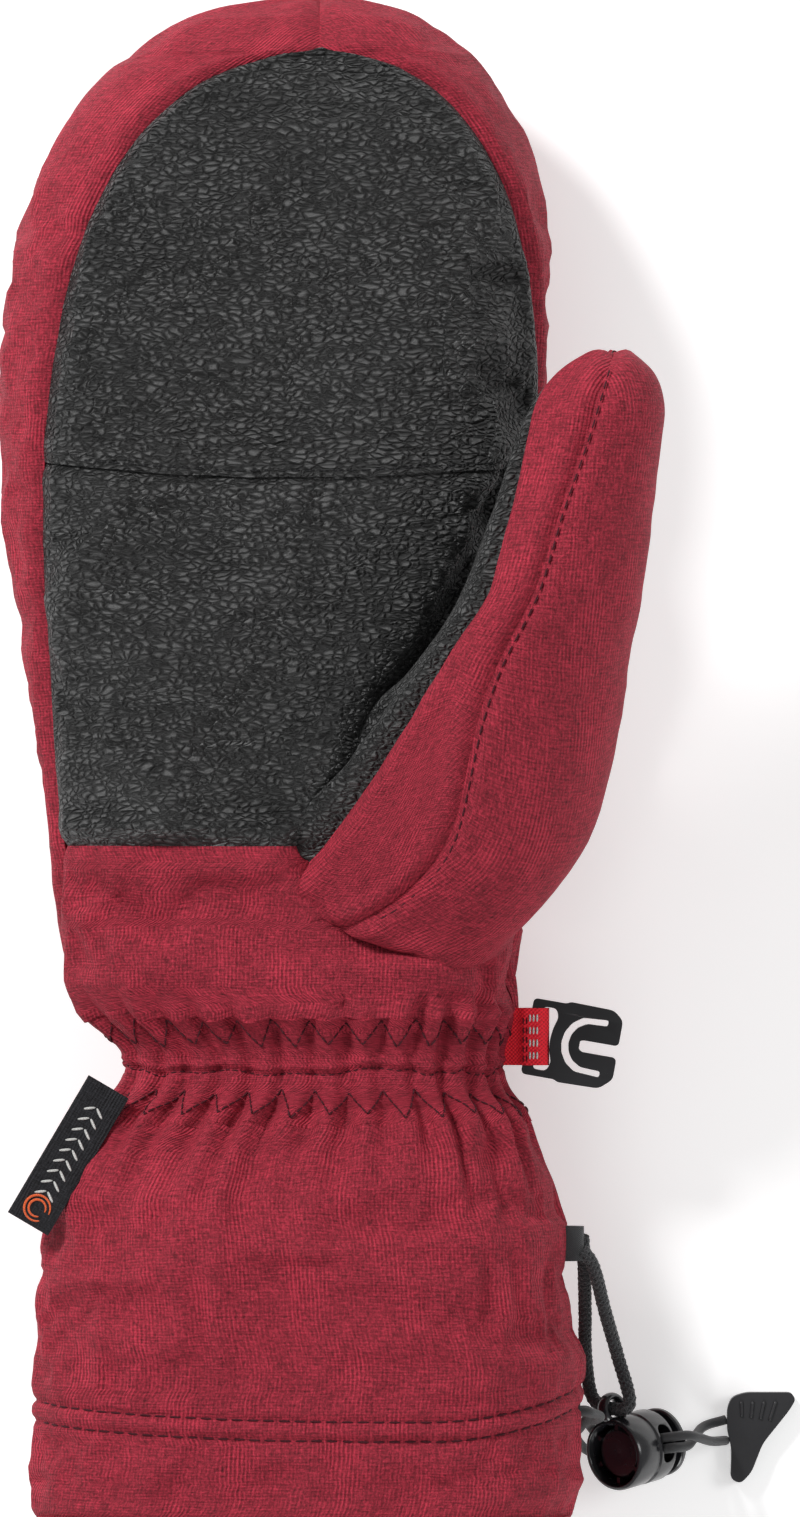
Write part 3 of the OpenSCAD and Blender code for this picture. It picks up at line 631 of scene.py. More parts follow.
def crease_distance(points):
    """Signed distance from the crease, positive on the thumb's side, and place along it."""
    line = spline([(x, y, 0) for x, y in CREASE], 4)[:, :2]
    flat = points[..., :2].reshape(-1, 2)
    a, b = line[:-1], line[1:]
    ab = b - a
    t = np.einsum("pkc,kc->pk", flat[:, None] - a[None], ab) / (ab ** 2).sum(1)
    t = np.clip(t, 0, 1)
    near = a[None] + t[..., None] * ab[None]
    gap = flat[:, None] - near
    d = np.linalg.norm(gap, axis=2)
    k = np.argmin(d, axis=1)
    rows = np.arange(len(flat))
    side = ab[k, 0] * gap[rows, k, 1] - ab[k, 1] * gap[rows, k, 0]
    place = (k + t[rows, k]) / len(ab)
    shape = points.shape[:-1]
    return (np.sign(side) * d[rows, k]).reshape(shape), place.reshape(shape)


def creased(points):
    """The roll of the palm leather and the valley that the thumb's leather rises from."""
    s, place = crease_distance(points)
    palm_side = np.clip((points[..., 2] - 36) / 6, 0, 1)
    ends = np.clip(place / 0.1, 0, 1) * np.clip((1.02 - place) / 0.08, 0, 1)
    roll = 2.1 * np.exp(-((s + 6.5) / 5.0) ** 2)
    drop = -5.2 * smoothstep((s + 3.0) / 5.0)
    fade = 1 - smoothstep((s - 16) / 10)
    return (roll + drop * fade) * ends * palm_side


GATHERS = 29


def wrist_lengths():
    """Angles round the wrist, and the length round it up to each of them."""
    turn = np.arange(361.0)
    return turn, arc_lengths(skin(np.full(361, WRIST_Y), turn)[None], 1)[0]


def gathered(y, a):
    """Pleats that the wrist elastic draws up, deepest at the two zigzag rows."""
    a = np.broadcast_to(a, np.broadcast(y, a).shape)
    y = np.broadcast_to(y, a.shape)
    turn, around = wrist_lengths()
    s = np.interp(np.mod(a, 360), turn, around) / around[-1]
    spot = np.stack([np.cos(2 * math.pi * s) * 30, np.sin(2 * math.pi * s) * 30, y * 0.25],
                    axis=-1)
    drift = rough(spot, 9.0)
    reach = 1 + 0.55 * rough(spot * np.array([1, 1, 0]), 5.0, 7.3)
    phase = 2 * math.pi * GATHERS * s + 0.9 * drift
    up = np.clip((y - WRIST_Y - 8) / (12 * reach), 0, None)
    down = np.clip((WRIST_Y - 9 - y) / (24 * reach), 0, None)
    inside = (y > WRIST_Y - 9) & (y < WRIST_Y + 8)
    rows = np.exp(-((y - WRIST_Y - 8) / 3) ** 2) + np.exp(-((y - WRIST_Y + 9) / 3) ** 2)
    tails = np.where(inside, 0.62 + 0.5 * rows, 1.1 * np.exp(-up * 1.6 - down * 1.4))
    ridge = 0.4 - np.abs(np.sin(phase / 2)) ** 4
    hang = 0.7 + 0.45 * np.cos(phase)
    puff = (2.3 * np.exp(-((y - WRIST_Y - 12.6) / 3.0) ** 2)
            + 1.3 * np.exp(-((y - WRIST_Y + 13.4) / 3.4) ** 2)) * hang
    puff = puff * (0.15 + 0.85 * np.abs(np.sin(np.radians(a))))
    tight = 0.8 * np.exp(-((y - WRIST_Y) / 8.5) ** 4)
    return (2.9 * tails * ridge + puff) * reach - tight


def seam_dip(distance, depth=1.15, width=1.5):
    """Height of a panel near a seam: pulled in at the seam and puffed beside it."""
    puff = 0.75 * np.exp(-((distance - 4.2) / 3.2) ** 2)
    return puff - depth * np.exp(-(distance / width) ** 2)


# ---------------------------------------------------------------- cloth simulation


CLOTH_GROW = 0.035
CLOTH_PRESSURE = 4.0
CLOTH_FRAMES = 16
CLOTH_REACH = 3.2
HELD, LOOSE = 1.0, 0.12


def relaxed(grid, pins):
    """How far cloth cut a little too large moves, in mm, when pinned points hold it."""
    rows, cols = grid.shape[:2]
    obj = mesh_object("cloth_tmp", grid.reshape(-1, 3), grid_faces(rows, cols, True), "shell")
    group = obj.vertex_groups.new(name="pin")
    for weight in (HELD, LOOSE):
        group.add(np.nonzero(pins.ravel() == weight)[0].tolist(), weight, "REPLACE")
    cloth = obj.modifiers.new("cloth", "CLOTH")
    s = cloth.settings
    s.quality = 5
    s.mass = 0.15
    s.air_damping = 4
    s.tension_stiffness = 12
    s.compression_stiffness = 12
    s.shear_stiffness = 4
    s.bending_stiffness = 0.35
    s.vertex_group_mass = "pin"
    s.pin_stiffness = 1
    s.shrink_min = -CLOTH_GROW
    s.use_pressure = True
    s.uniform_pressure_force = CLOTH_PRESSURE
    s.effector_weights.gravity = 0
    cloth.point_cache.frame_end = CLOTH_FRAMES
    scene = bpy.context.scene
    for f in range(1, CLOTH_FRAMES + 1):
        scene.frame_set(f)
    moved = obj.evaluated_get(bpy.context.evaluated_depsgraph_get()).to_mesh()
    out = np.empty(len(moved.vertices) * 3)
    moved.vertices.foreach_get("co", out)
    bpy.data.objects.remove(obj)
    scene.frame_set(1)
    shift = out.reshape(grid.shape) / MM - grid
    size = np.linalg.norm(shift, axis=2, keepdims=True)
    return shift * np.minimum(1, CLOTH_REACH / np.maximum(size, 1e-6))


FIELD_Y = np.concatenate([np.arange(HEM_Y, WRIST_Y - 12, 3.0), np.arange(-81, -56, 2.0),
                          np.arange(-56, 150, 3.4), 150 + 19.5 * np.sin(
                              np.radians(np.linspace(8, 88, 12)))])
FIELD_A = np.arange(0, 360, 3.2)


LEATHER_TOP = 157.5
LEATHER_END = LEATHER_TOP - 0.03
LEATHER_FOOT = -19.5
CROSS_SEAM = 65.5


def leather_edges(y):
    """x of the leather's two edges at station y."""
    foot = np.clip((40 - y) / 60, 0, 1)
    middle = np.clip((95 - y) / 45, 0, 1)
    left = -1 - (61.8 + 1.5 * middle - 4.5 * foot ** 1.4) * dome(y, 62, LEATHER_TOP, 2.3)
    right = -1 + 48 * dome(y, 86, LEATHER_TOP, 2.2)
    return left, right


def make_field():
    """The relaxed shape of the whole shell, as shifts on a ring grid."""
    y, a = np.meshgrid(FIELD_Y, FIELD_A, indexing="ij")
    grid = skin(y, a)
    left, right = leather_edges(y)
    up = (np.mod(a, 360) < 200)
    seams = [up & (np.abs(grid[..., 0] - left) < 1.8) & (y > -58),
             up & (np.abs(grid[..., 0] - right) < 1.8) & (y > 20),
             up & (np.abs(y - LEATHER_FOOT) < 1.7) & (grid[..., 0] > left),
             up & (np.abs(y - CROSS_SEAM) < 1.7) & (grid[..., 0] > left),
             (np.abs(a - SIDE_HI) < 1.6) & (y > -58),
             (np.abs(a - 360 - SIDE_LO) < 1.6) & (y > -58),
             np.abs(y - HEM_Y) < 2, np.abs(y - WRIST_Y) < 9.5, y > 166,
             np.abs(y - TUNNEL_Y) < 3.2]
    pins = np.where(np.any(seams, axis=0), HELD, LOOSE)
    grid = grid + skin_normal(y, a) * gathered(y, a)[..., None]
    return relaxed(grid, pins)


FIELD = make_field()


def field_at(y, a):
    """Shift of the relaxed cloth at any station and angle."""
    i = np.interp(y, FIELD_Y, np.arange(len(FIELD_Y)))
    j = np.mod(a, 360) / (FIELD_A[1] - FIELD_A[0])
    j = np.minimum(j, len(FIELD_A) - 1e-6)
    i0 = np.clip(np.floor(i).astype(int), 0, len(FIELD_Y) - 2)
    j0 = np.floor(j).astype(int)
    j1 = (j0 + 1) % len(FIELD_A)
    u, v = (i - i0)[..., None], (j - j0)[..., None]
    calm = 1 - 0.65 * smoothstep((y - 112) / 36)[..., None]
    return between(FIELD, i0, j0, j1, u, v) * calm


def shaped(y, a, lift=0.0):
    """The finished surface of the shell: relaxed, gathered and folded cloth."""
    y, a = np.broadcast_arrays(np.asarray(y, float), np.asarray(a, float))
    points = skin(y, a)
    small = 0.28 * rough(points, 11.0, 3.1) + 0.16 * rough(points, 4.5, 9.7)
    height = gathered(y, a) + folded(points) + creased(points) + small + lift
    points = points + skin_normal(y, a) * height[..., None] + field_at(y, a)
    points[..., 2] = np.maximum(points[..., 2], 0.05)
    return points


def edge_heights(y, a, seams):
    """Seam dips for a grid: seams names its edges that are seams. A lap is sewn flat."""
    plain = skin(y, a)
    across, along = arc_lengths(plain, 1), arc_lengths(plain, 0)
    from_end = along[-1:, :] - along
    edges = {"lo": across, "hi": across[:, -1:] - across, "start": along, "end": from_end}
    laps = {"lap_over": (along, 0.15, 1.2), "lap_under": (from_end + 0.6, 1.5, 2.0)}
    total = np.zeros(y.shape)
    for side in seams:
        total += seam_dip(*laps[side]) * 0.8 if side in laps else seam_dip(edges[side])
    return total


def seam_bow(x):
    """The cross seam hangs a little lower in its middle."""
    return -3.2 * np.clip(1 - ((x + 6) / 54) ** 2, -0.3, 1)


def shell_panel(name, ys, lo, hi, cols, material, seams=(), extra=None):
    """Panel of the shell between two edge angles, given once or at each station."""
    s = np.linspace(0, 1, cols)[None, :]
    y = np.repeat(ys[:, None], cols, axis=1)
    lo, hi = (np.broadcast_to(edge, len(ys))[:, None] for edge in (lo, hi))
    a = lo * (1 - s) + hi * s
    if "lap_over" in seams or "lap_under" in seams:
        near = np.exp(-((y - CROSS_SEAM) / 16) ** 2)
        y = y + seam_bow(skin(y, a)[..., 0]) * near
    lift = edge_heights(y, a, seams)
    if extra is not None:
        lift = lift + extra(y, a)
    return grid_object(name, shaped(y, a, lift)[::-1], material)


def dome_rows(start, end, count):
    """Stations that lie closer together towards the end."""
    return end - (end - start) * (1 - np.linspace(0, 1, count)) ** 2


HAND_END = -57.7
CUFF_TOP = -81.8
CLIMB_Y = 125
TIP_SEAM_X = -2.0


def make_hand():
    climb = dome_rows(CLIMB_Y, LEATHER_END, 26)
    tip = LEATHER_TOP + (TIP_Y - 0.002 - LEATHER_TOP) * np.sin(
        np.radians(np.linspace(6, 90, 19)))
    ys = np.concatenate([np.linspace(HAND_END, LEATHER_FOOT, 18, endpoint=False),
                         np.linspace(LEATHER_FOOT, CLIMB_Y, 63), climb[1:], tip])
    left, right = (np.where(ys > LEATHER_TOP, TIP_SEAM_X, x) for x in leather_edges(ys))
    lo, hi = angle_at(ys, right), angle_at(ys, left)
    panels = [("back_shell", "back_shell_cloth", ys, SIDE_HI, 360 + SIDE_LO, 56, ()),
              ("outer_side_panel", "outer_side_cloth", ys, hi, SIDE_HI, 18, ()),
              ("inner_side_panel", "inner_side_cloth", ys, SIDE_LO, lo, 20, ())]
    upper = np.concatenate([np.linspace(CROSS_SEAM, CLIMB_Y, 34)[:-1], climb])
    for node, name, part, ends in (
            ("palm_lower_leather", "palm_lower_skin",
             np.linspace(LEATHER_FOOT, CROSS_SEAM, 44), ("start", "lap_under")),
            ("palm_upper_leather", "palm_upper_skin", upper, ("lap_over",)),
            ("heel_panel", "heel_cloth", np.linspace(HAND_END, LEATHER_FOOT, 24), ("end",))):
        left, right = leather_edges(part)
        panels.append((node, name, part, angle_at(part, right), angle_at(part, left), 66,
                       ends))
    for node, name, part, a0, a1, cols, ends in panels:
        leather = "leather" in node
        piece = shell_panel(name, part, a0, a1, cols, "leather" if leather else "shell",
                            ("lo", "hi") + ends)
        hand_in(piece, node, "hand")


# ---------------------------------------------------------------- layers inside


LAYER_FOOT = -54
LAYER_TOP = TIP_Y - 0.6


def layer_object(name, y0, y1, a0, a1, d0, d1, material):
    """A layer of the hand or cuff between two depths."""
    ys = np.linspace(y0, min(y1, THIN_DOME_Y), 40)
    if y1 > THIN_DOME_Y:
        ys = np.concatenate([ys[:-1], dome_rows(THIN_DOME_Y, y1, 14)])
    y, a = np.meshgrid(ys, np.linspace(a0, a1, 60), indexing="ij")
    outside, points = skin(y, a), skin(y, a, d0)
    depth = folded(outside) + creased(outside) + 0.25 * rough(points, 9.0, 5.5) * (d0 > 5)
    points = points + skin_normal(y, a) * depth[..., None] + field_at(y, a)
    points[..., 2] = np.maximum(points[..., 2], d0)
    return grid_object(name, points[::-1], material, d1 - d0)


def make_layers():
    foot, top = LAYER_FOOT, LAYER_TOP
    layers = [
        ("waterproof_insert", "hand", "membrane", "insert", foot, top, 20.6, 380, 2.9, 3.3),
        ("back_insulation", "hand", "insulation", "fill", foot, top, 181, 380, 3.6, 7.0),
        ("palm_insulation", "hand", "insulation", "fill", foot, top, 64, 179, 3.6, 7.0),
        ("hand_lining", "hand", "lining_fleece", "lining", foot, top, 20.6, 380, 7.4, 8.4),
        ("gauntlet_wadding", "gauntlet", "insulation", "fill", -142, -82, 0.5, 360, 2.4, 3.3),
        ("gauntlet_lining", "gauntlet", "lining_fleece", "lining", -142.7, -80, 0.5, 360.5,
         3.7, 4.5),
        ("hem_interlining", "gauntlet", "insulation", "fill", -169, -151, 0.5, 360, 2.4, 3.4),
    ]
    for node, body, slot, material, y0, y1, a0, a1, d0, d1 in layers:
        piece = layer_object(node + "_soft", y0, y1, a0, a1, d0, d1, material)
        hand_in(piece, node, body)


# ---------------------------------------------------------------- wrist and gauntlet


def seam_wave(a):
    """The wrist's middle seam wanders as the elastic draws it up."""
    turn = np.radians(a)
    return 0.5 * np.sin(9 * turn) + 0.35 * np.sin(23 * turn + 1) + 0.3 * np.sin(4 * turn + 2)


def band_relief(y, a):
    """The wrist's middle seam: a raised fold with its stitches just below it."""
    t = y - WRIST_Y - seam_wave(a)
    return 0.6 * np.exp(-((t - 0.8) / 0.7) ** 2) - 0.7 * np.exp(-((t + 0.6) / 0.6) ** 2)


def hem_relief(y, a):
    """The drawcord tunnel stands out between its two rows of stitches."""
    t = y - tunnel_y(a)
    rows = np.exp(-((t - 2.15) / 0.8) ** 2) + np.exp(-((t + 2.15) / 0.8) ** 2)
    return 0.55 * np.exp(-(t / 1.5) ** 2) - 0.75 * rows


def tunnel_y(a):
    """The tunnel hangs a little lower in the middle of the palm side."""
    s = np.sin(np.radians(a))
    c = np.cos(np.radians(a))
    return -145.6 - 3.4 * np.clip(s, 0, 1) ** 1.5 + 3.2 * np.clip(c, 0, 1) ** 2


def join_wrist(piece):
    """Bake the piece's placement into its mesh."""
    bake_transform(piece)


def make_wrist():
    ys = np.linspace(CUFF_TOP, HAND_END, 40)
    band = shell_panel("wrist_band_cloth", ys, 0, 360, 420, "casing", (), band_relief)
    join_wrist(band)
    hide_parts("upper_wrist_casing", "lower_wrist_casing")
    y, a = np.meshgrid(np.linspace(-81, LAYER_FOOT, 16), np.linspace(0, 360, 90),
                       indexing="ij")
    inner = skin(y, a, 4.2)
    inner[..., 2] = MID_Z + (inner[..., 2] - MID_Z) * 0.93
    elastic = grid_object("wrist_elastic_band", inner[::-1], "elastic", 1.2)
    join_wrist(elastic)
    hand_in(elastic, "wrist_elastic")


HEM_ROLL = 1.2
HEM_EDGE = HEM_Y + HEM_ROLL
HEM_DEPTH = 4.4


def make_gauntlet():
    ys = np.concatenate([np.linspace(HEM_EDGE, -138, 44)[:-1],
                         np.linspace(-138, CUFF_TOP, 44)])
    for node, name, a0, a1 in (("gauntlet_palm_panel", "gauntlet_palm_cloth", 0, 180),
                               ("gauntlet_back_panel", "gauntlet_back_cloth", 180, 360)):
        piece = shell_panel(name, ys, a0, a1, 120, "shell", ("lo", "hi"), hem_relief)
        hand_in(piece, node, "gauntlet")


def make_hem():
    """The cloth rolls round the edge of the gauntlet and runs up inside."""
    a = np.linspace(0, 360, 200)
    outer = shaped(np.full(200, HEM_EDGE), a)
    inner = skin(np.full(200, HEM_EDGE), a, HEM_DEPTH)
    mid, half = (outer + inner) / 2, (outer - inner) / 2
    rows = [mid + half * math.cos(t) + np.array([0, -HEM_ROLL * math.sin(t), 0])
            for t in np.linspace(0, math.pi, 9)]
    rows += [skin(np.full(200, y), a, HEM_DEPTH) for y in np.linspace(HEM_Y + 3, -143.2, 12)]
    hem = grid_object("hem_turning", np.array(rows)[::-1], "shell", 0.6)
    hand_in(hem, "hem_facing", "gauntlet")


# ---------------------------------------------------------------- thumb

ROOT_R = 25.5
ROOT_HALF_L, ROOT_HALF_A = 42.0, 41.0
THUMB_AT = 49.0
CROTCH_Y = 34.0
THUMB_TIP_Y = 90.0
TUBE_HALF = 19.0
THUMB_LEAN = 14.0
THUMB_DOME_Y = 70.0
OUTER_FULLNESS = [(0, 0.62), (16, 0.58), (27, 0.37), (36, 0.22), (57, 0.07), (90, 0)]
THUMB_RADIUS = [(34, 21.5), (45, 20), (58, 18), (70, 15.6)]
OUT = np.array([math.cos(math.radians(THUMB_AT)), 0, math.sin(math.radians(THUMB_AT))])
SIDE = np.array([-OUT[2], 0, OUT[0]])
PIVOT_X = SIDE_MID - HALF
PIVOT_SLOPE = (SIDE_DOME - SIDE_MID) / RIGHT_DOME_Y

# Where the thumb's root meets the hand: ring angle, then angle round the hand and station
ROOT_LINE = [(-60, 6, 14), (-30, 26, 27), (0, 50, 34), (15, 68, 31), (30, 84, 22),
             (45, 93, 13), (58, 98, 3), (66, 99.5, -5), (76, 104, -12), (85, 111, -19),
             (92, 107, -28.5), (112, 103, -33), (136, 99, -38), (158, 91, -43.5),
             (180, 78, -46.8), (200, 58, -47.5), (225, 34, -45), (250, 14, -34),
             (270, 3, -14), (300, 6, 14), (330, 26, 27)]


def ring_reach(turn):
    """Width of the thumb's ring, outwards from the crotch, as it turns to the tube."""
    t = np.radians(turn)
    return (1 + lookup(turn, OUTER_FULLNESS) * np.sin(2 * t)) / (
        np.cos(t) / (2 * ROOT_HALF_L) + np.sin(t) / (2 * TUBE_HALF))


def bend_ring(turn, a):
    """Ring of the thumb's root, part of the way from the hand's surface to the tube."""
    t, al = math.radians(turn), np.radians(a)
    w = turn / 90
    full = ring_reach(turn) / 2
    half_c = (math.radians(ROOT_HALF_A) * ROOT_R) * (1 - w) + THUMB_RADIUS[0][1] * w
    u = full - full * np.cos(al)
    c = half_c * np.sin(al)
    y = CROTCH_Y - u * math.cos(t)
    r = ROOT_R + u * math.sin(t)
    bent = math.radians(THUMB_AT) + c / ROOT_R
    on_hand = np.stack([r * np.cos(bent), y, r * np.sin(bent)], axis=-1)
    straight = r[:, None] * OUT + c[:, None] * SIDE
    straight[:, 1] = y
    points = on_hand * (1 - w) + straight * w
    points[:, 0] += PIVOT_X + PIVOT_SLOPE * y
    points[:, 2] += MID_Z
    return points


def tube_ring(y, a):
    """Ring of the thumb beyond its root: a leaning tube that ends in a dome."""
    al = np.radians(a)
    end_r = THUMB_RADIUS[-1][1]
    if y <= THUMB_DOME_Y:
        share = (y - CROTCH_Y) / (THUMB_DOME_Y - CROTCH_Y)
        half_u = TUBE_HALF * (1 - share) + end_r * share
        half_c = float(np.interp(y, *zip(*THUMB_RADIUS)))
    else:
        half_u = half_c = end_r * float(dome(y, THUMB_DOME_Y, THUMB_TIP_Y, 2.15))
    along = y - CROTCH_Y
    middle = (ROOT_R + TUBE_HALF) * OUT + np.array(
        [PIVOT_X + PIVOT_SLOPE * CROTCH_Y + along * math.tan(math.radians(THUMB_LEAN)),
         y, MID_Z])
    return (middle - half_u * np.cos(al)[:, None] * OUT
            + half_c * np.sin(al)[:, None] * SIDE)


def root_ring(a):
    """The line on the hand's surface that the thumb grows from."""
    keys = np.array(ROOT_LINE, dtype=float)
    a = np.mod(np.asarray(a) + 60, 360) - 60
    on = np.interp(a, keys[:, 0], keys[:, 1])
    y = np.interp(a, keys[:, 0], keys[:, 2])
    under = smoothstep((a + 20) / 25) * (1 - smoothstep((a - 90) / 14))
    points = skin(y, on)
    return points - skin_normal(y, on) * (0.8 + 3.6 * under)[:, None]


THUMB_ROWS = ([("bend", t) for t in np.linspace(0, 88, 30)]
              + [("tube", y) for y in np.linspace(CROTCH_Y + 1, THUMB_DOME_Y, 20)]
              + [("tube", THUMB_DOME_Y + (THUMB_TIP_Y - THUMB_DOME_Y) * math.sin(t))
                 for t in np.radians(np.linspace(6, 89.5, 18))])
THUMB_COLS = np.arange(-60, 300, 2.0)


def thumb_master():
    """The whole thumb as a ring grid, before its panels are cut out of it."""
    grid = np.array([bend_ring(v, THUMB_COLS) if kind == "bend" else
                     tube_ring(v, THUMB_COLS) for kind, v in THUMB_ROWS])
    smooth_rows = 48
    for _ in range(14):
        body = grid[1:smooth_rows]
        grid[1:smooth_rows] = 0.5 * body + 0.25 * (grid[:smooth_rows - 1]
                                                   + grid[2:smooth_rows + 1])
    root = root_ring(THUMB_COLS)
    palm_side = smoothstep((THUMB_COLS + 40) / 40) * (1 - smoothstep((THUMB_COLS - 100) / 40))
    reach = 18 + 44 * palm_side
    for i, (kind, v) in enumerate(THUMB_ROWS):
        if kind == "bend":
            w = (1 - smoothstep(v / reach) ** 0.8)[:, None]
            grid[i] = root * w + grid[i] * (1 - w)
    for _ in range(3):
        grid[1:-1] = 0.5 * grid[1:-1] + 0.25 * (grid[:-2] + grid[2:])
    return grid


THUMB = thumb_master()
THUMB_NORMALS = normals_of(THUMB)


def thumb_surface(i, a, lift=0.0):
    """Point on the thumb at a fractional row and ring angle."""
    i, a = np.broadcast_arrays(np.asarray(i, float), np.asarray(a, float))
    j = np.mod(a + 60, 360) / 2.0
    i0 = np.clip(np.floor(i).astype(int), 0, len(THUMB_ROWS) - 2)
    j0 = np.floor(j).astype(int) % len(THUMB_COLS)
    j1 = (j0 + 1) % len(THUMB_COLS)
    u, v = (i - i0)[..., None], (j - np.floor(j))[..., None]
    points = between(THUMB, i0, j0, j1, u, v)
    normal = unit(between(THUMB_NORMALS, i0, j0, j1, u, v))
    small = 0.3 * rough(points, 12.0, 1.7) + 0.14 * rough(points, 5.0, 6.1)
    wrinkle = 0.7 * np.exp(-((points[..., 1] - 14) / 7) ** 2) * rough(
        points * np.array([0.35, 1, 0.35]), 5.5, 2.2)
    return points + normal * (small + wrinkle + lift)[..., None]


# Angles of the thumb's two upper seams, at rows along it
LEATHER_EDGE = [(0, 92), (20, 94), (31, 97), (42, 86), (50, 66), (56, 48), (68, 34)]
RIDGE_EDGE = [(0, 136), (14, 132), (40, 131), (56, 136), (68, 140)]


def edge_angle(i, table):
    return np.interp(i, [row[0] for row in table], [row[1] for row in table])


def make_thumb():
    rows = np.arange(0, len(THUMB_ROWS) - 0.001, 0.75)
    leather, ridge = edge_angle(rows, LEATHER_EDGE), edge_angle(rows, RIDGE_EDGE)
    crotch = np.full(len(rows), -60.0)
    for node, name, lo, hi, cols, material, slot in (
            ("thumb_leather", "thumb_leather_skin", crotch, leather, 76, "leather",
             "palm_leather"),
            ("thumb_front_panel", "thumb_front_cloth", leather, ridge, 28, "shell",
             "shell_twill"),
            ("thumb_back_panel", "thumb_back_cloth", ridge, crotch + 360, 84, "shell",
             "shell_twill")):
        s = np.linspace(0, 1, cols)[None, :]
        i = np.repeat(rows[:, None], cols, axis=1)
        a = lo[:, None] * (1 - s) + hi[:, None] * s
        plain = thumb_surface(i, a)
        across = arc_lengths(plain, 1)
        lift = seam_dip(across, 1.0) + seam_dip(across[:, -1:] - across, 1.0)
        if material == "shell":
            lift = lift + seam_dip(arc_lengths(plain, 0), 0.9)
        near_tip = np.clip(0.5 + (len(THUMB_ROWS) - 1 - i) / 10, 0.5, 1)
        piece = grid_object(name, thumb_surface(i, a, lift * near_tip), material)
        join_thumb(piece)
        hand_in(piece, node)
    for node, slot, material, d, thick in (
            ("thumb_insert", "membrane", "insert", 2.2, 0.4),
            ("thumb_insulation", "insulation", "fill", 2.9, 2.6),
            ("thumb_lining", "lining_fleece", "lining", 5.8, 0.9)):
        i, a = np.meshgrid(np.arange(14, len(THUMB_ROWS) - 4, 2.0), np.arange(0, 361, 6.0),
                           indexing="ij")
        piece = grid_object(node + "_soft", thumb_surface(i, a, -d - 0.3), material, thick)
        join_thumb(piece)
        hand_in(piece, node)


def join_thumb(piece):
    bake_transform(piece)


# ---------------------------------------------------------------- stitches

STITCH_STEP = 0.35


def dashes(path, stitch, space):
    """Separate stitches along a path: each rises out of the cloth and dives back."""
    path = evenly(path, STITCH_STEP)
    per = max(3, int(round(stitch / STITCH_STEP)))
    skip = max(1, int(round(space / STITCH_STEP)))
    return [path[k:k + per + 1] for k in range(0, len(path) - per, per + skip)]


def thread_piece(name, paths, d, material, body=None):
    """Stitches as thin tubes that narrow to their ends."""
    radii = [d / 2 * (0.45 + 0.55 * np.sin(math.pi * np.linspace(0, 1, len(path))) ** 0.5)
             for path in paths]
    piece = tubes(name, paths, radii, material, 6)
    hand_in(piece, None, body)
    return piece


def make_hem_stitches():
    a = np.linspace(2, 358, 900)
    for name, offset in (("hem_stitches_upper", 2.15), ("hem_stitches_lower", -2.15)):
        y = tunnel_y(a) + offset
        line = shaped(y, a, hem_relief(y, a) + 0.12)
        thread_piece(name, dashes(line, 2.3, 0.9), 0.55, "thread", "gauntlet")


def make_wrist_stitches():
    """The straight row along the middle seam and a zigzag row on each side of it."""
    a = np.linspace(0, 360, 700)
    y = WRIST_Y - 0.8 + seam_wave(a)
    line = shaped(y, a, band_relief(y, a) + 0.15)
    join_wrist(thread_piece("wrist_middle_stitches", dashes(line, 1.3, 0.6), 0.36, "thread"))
    turn, around = wrist_lengths()
    turns = np.arange(0, 2 * GATHERS + 1)
    phase = np.linspace(0, 2 * GATHERS, 2 * GATHERS * 14)
    a = np.interp(phase / (2 * GATHERS) * around[-1], around, turn)
    for name, y0, y1 in (("zigzag_upper", WRIST_Y + 5.2, WRIST_Y + 10.4),
                         ("zigzag_lower", WRIST_Y - 11, WRIST_Y - 4.6)):
        corners = np.where(turns % 2 == 0, y0, y1) + 0.5 * np.sin(turns * 2.3)
        y = np.interp(phase, turns, corners)
        line = shaped(y, a, band_relief(y, a) + 0.18)
        join_wrist(thread_piece(name, dashes(line, 1.9, 0.3), 0.45, "thread"))


def make_palm_stitches():
    x = np.linspace(-60, 42, 260)
    y = CROSS_SEAM + 1.5 + seam_bow(x)
    line = shaped(y, angle_at(y, x), 0.22)
    thread_piece("palm_seam_stitches", dashes(line, 2.2, 1.2), 0.5, "black_thread",
                 "hand")


def make_thumb_stitches():
    i = np.linspace(1.5, len(THUMB_ROWS) - 8, 300)
    line = thumb_surface(i, edge_angle(i, RIDGE_EDGE) + 3.2, 0.25)
    join_thumb(thread_piece("thumb_ridge_stitches", dashes(line, 2.2, 1.0), 0.5, "thread"))


# ---------------------------------------------------------------- cords

ANCHOR_ROUTE = [(56.9, -107, 30.4), (57.3, -114, 27), (57.6, -124, 20), (57.8, -134.5, 14),
                (59.4, -144, 11.8), (63.75, -146.35, 16.3), (67.6, -144.8, 20),
                (65, -134.5, 18), (62, -124, 23), (59.4, -114, 29.3), (56.9, -110, 32.2)]
END_ROUTE_A = [(56.7, -146, 33.6), (58.9, -146.4, 32), (60.9, -147.5, 26.5),
               (59.7, -148.6, 20.6), (58.3, -149.3, 15.4), (60.4, -152.4, 6.6),
               (64.9, -155, 5.8), (70.6, -153.9, 11.1), (76.5, -152.7, 16.9),
               (81.2, -152.2, 18.4), (86, -153.9, 11.4), (89.6, -154.3, 2.6)]
END_ROUTE_B = [(56.7, -146, 28.4), (58.5, -146.9, 26), (56.7, -150, 20.5),
               (55.6, -152.8, 11.6), (58.6, -156.6, 4), (64.6, -157.8, 5),
               (70.4, -156.65, 10.6), (76.1, -155.3, 16.4), (77.9, -155, 17.8),
               (81, -154.6, 14.2), (84.4, -151.2, 4.6), (89.6, -149.6, 2.2)]
ANCHOR_D = 3.0
ELASTIC_D = 2.2
STRAND_R = 0.46
IN_TUNNEL = 6.2
LOCK_AT = (72.5, -154.8, 8.9)
LOCK_TURN, LOCK_TILT = 12.0, -43.0
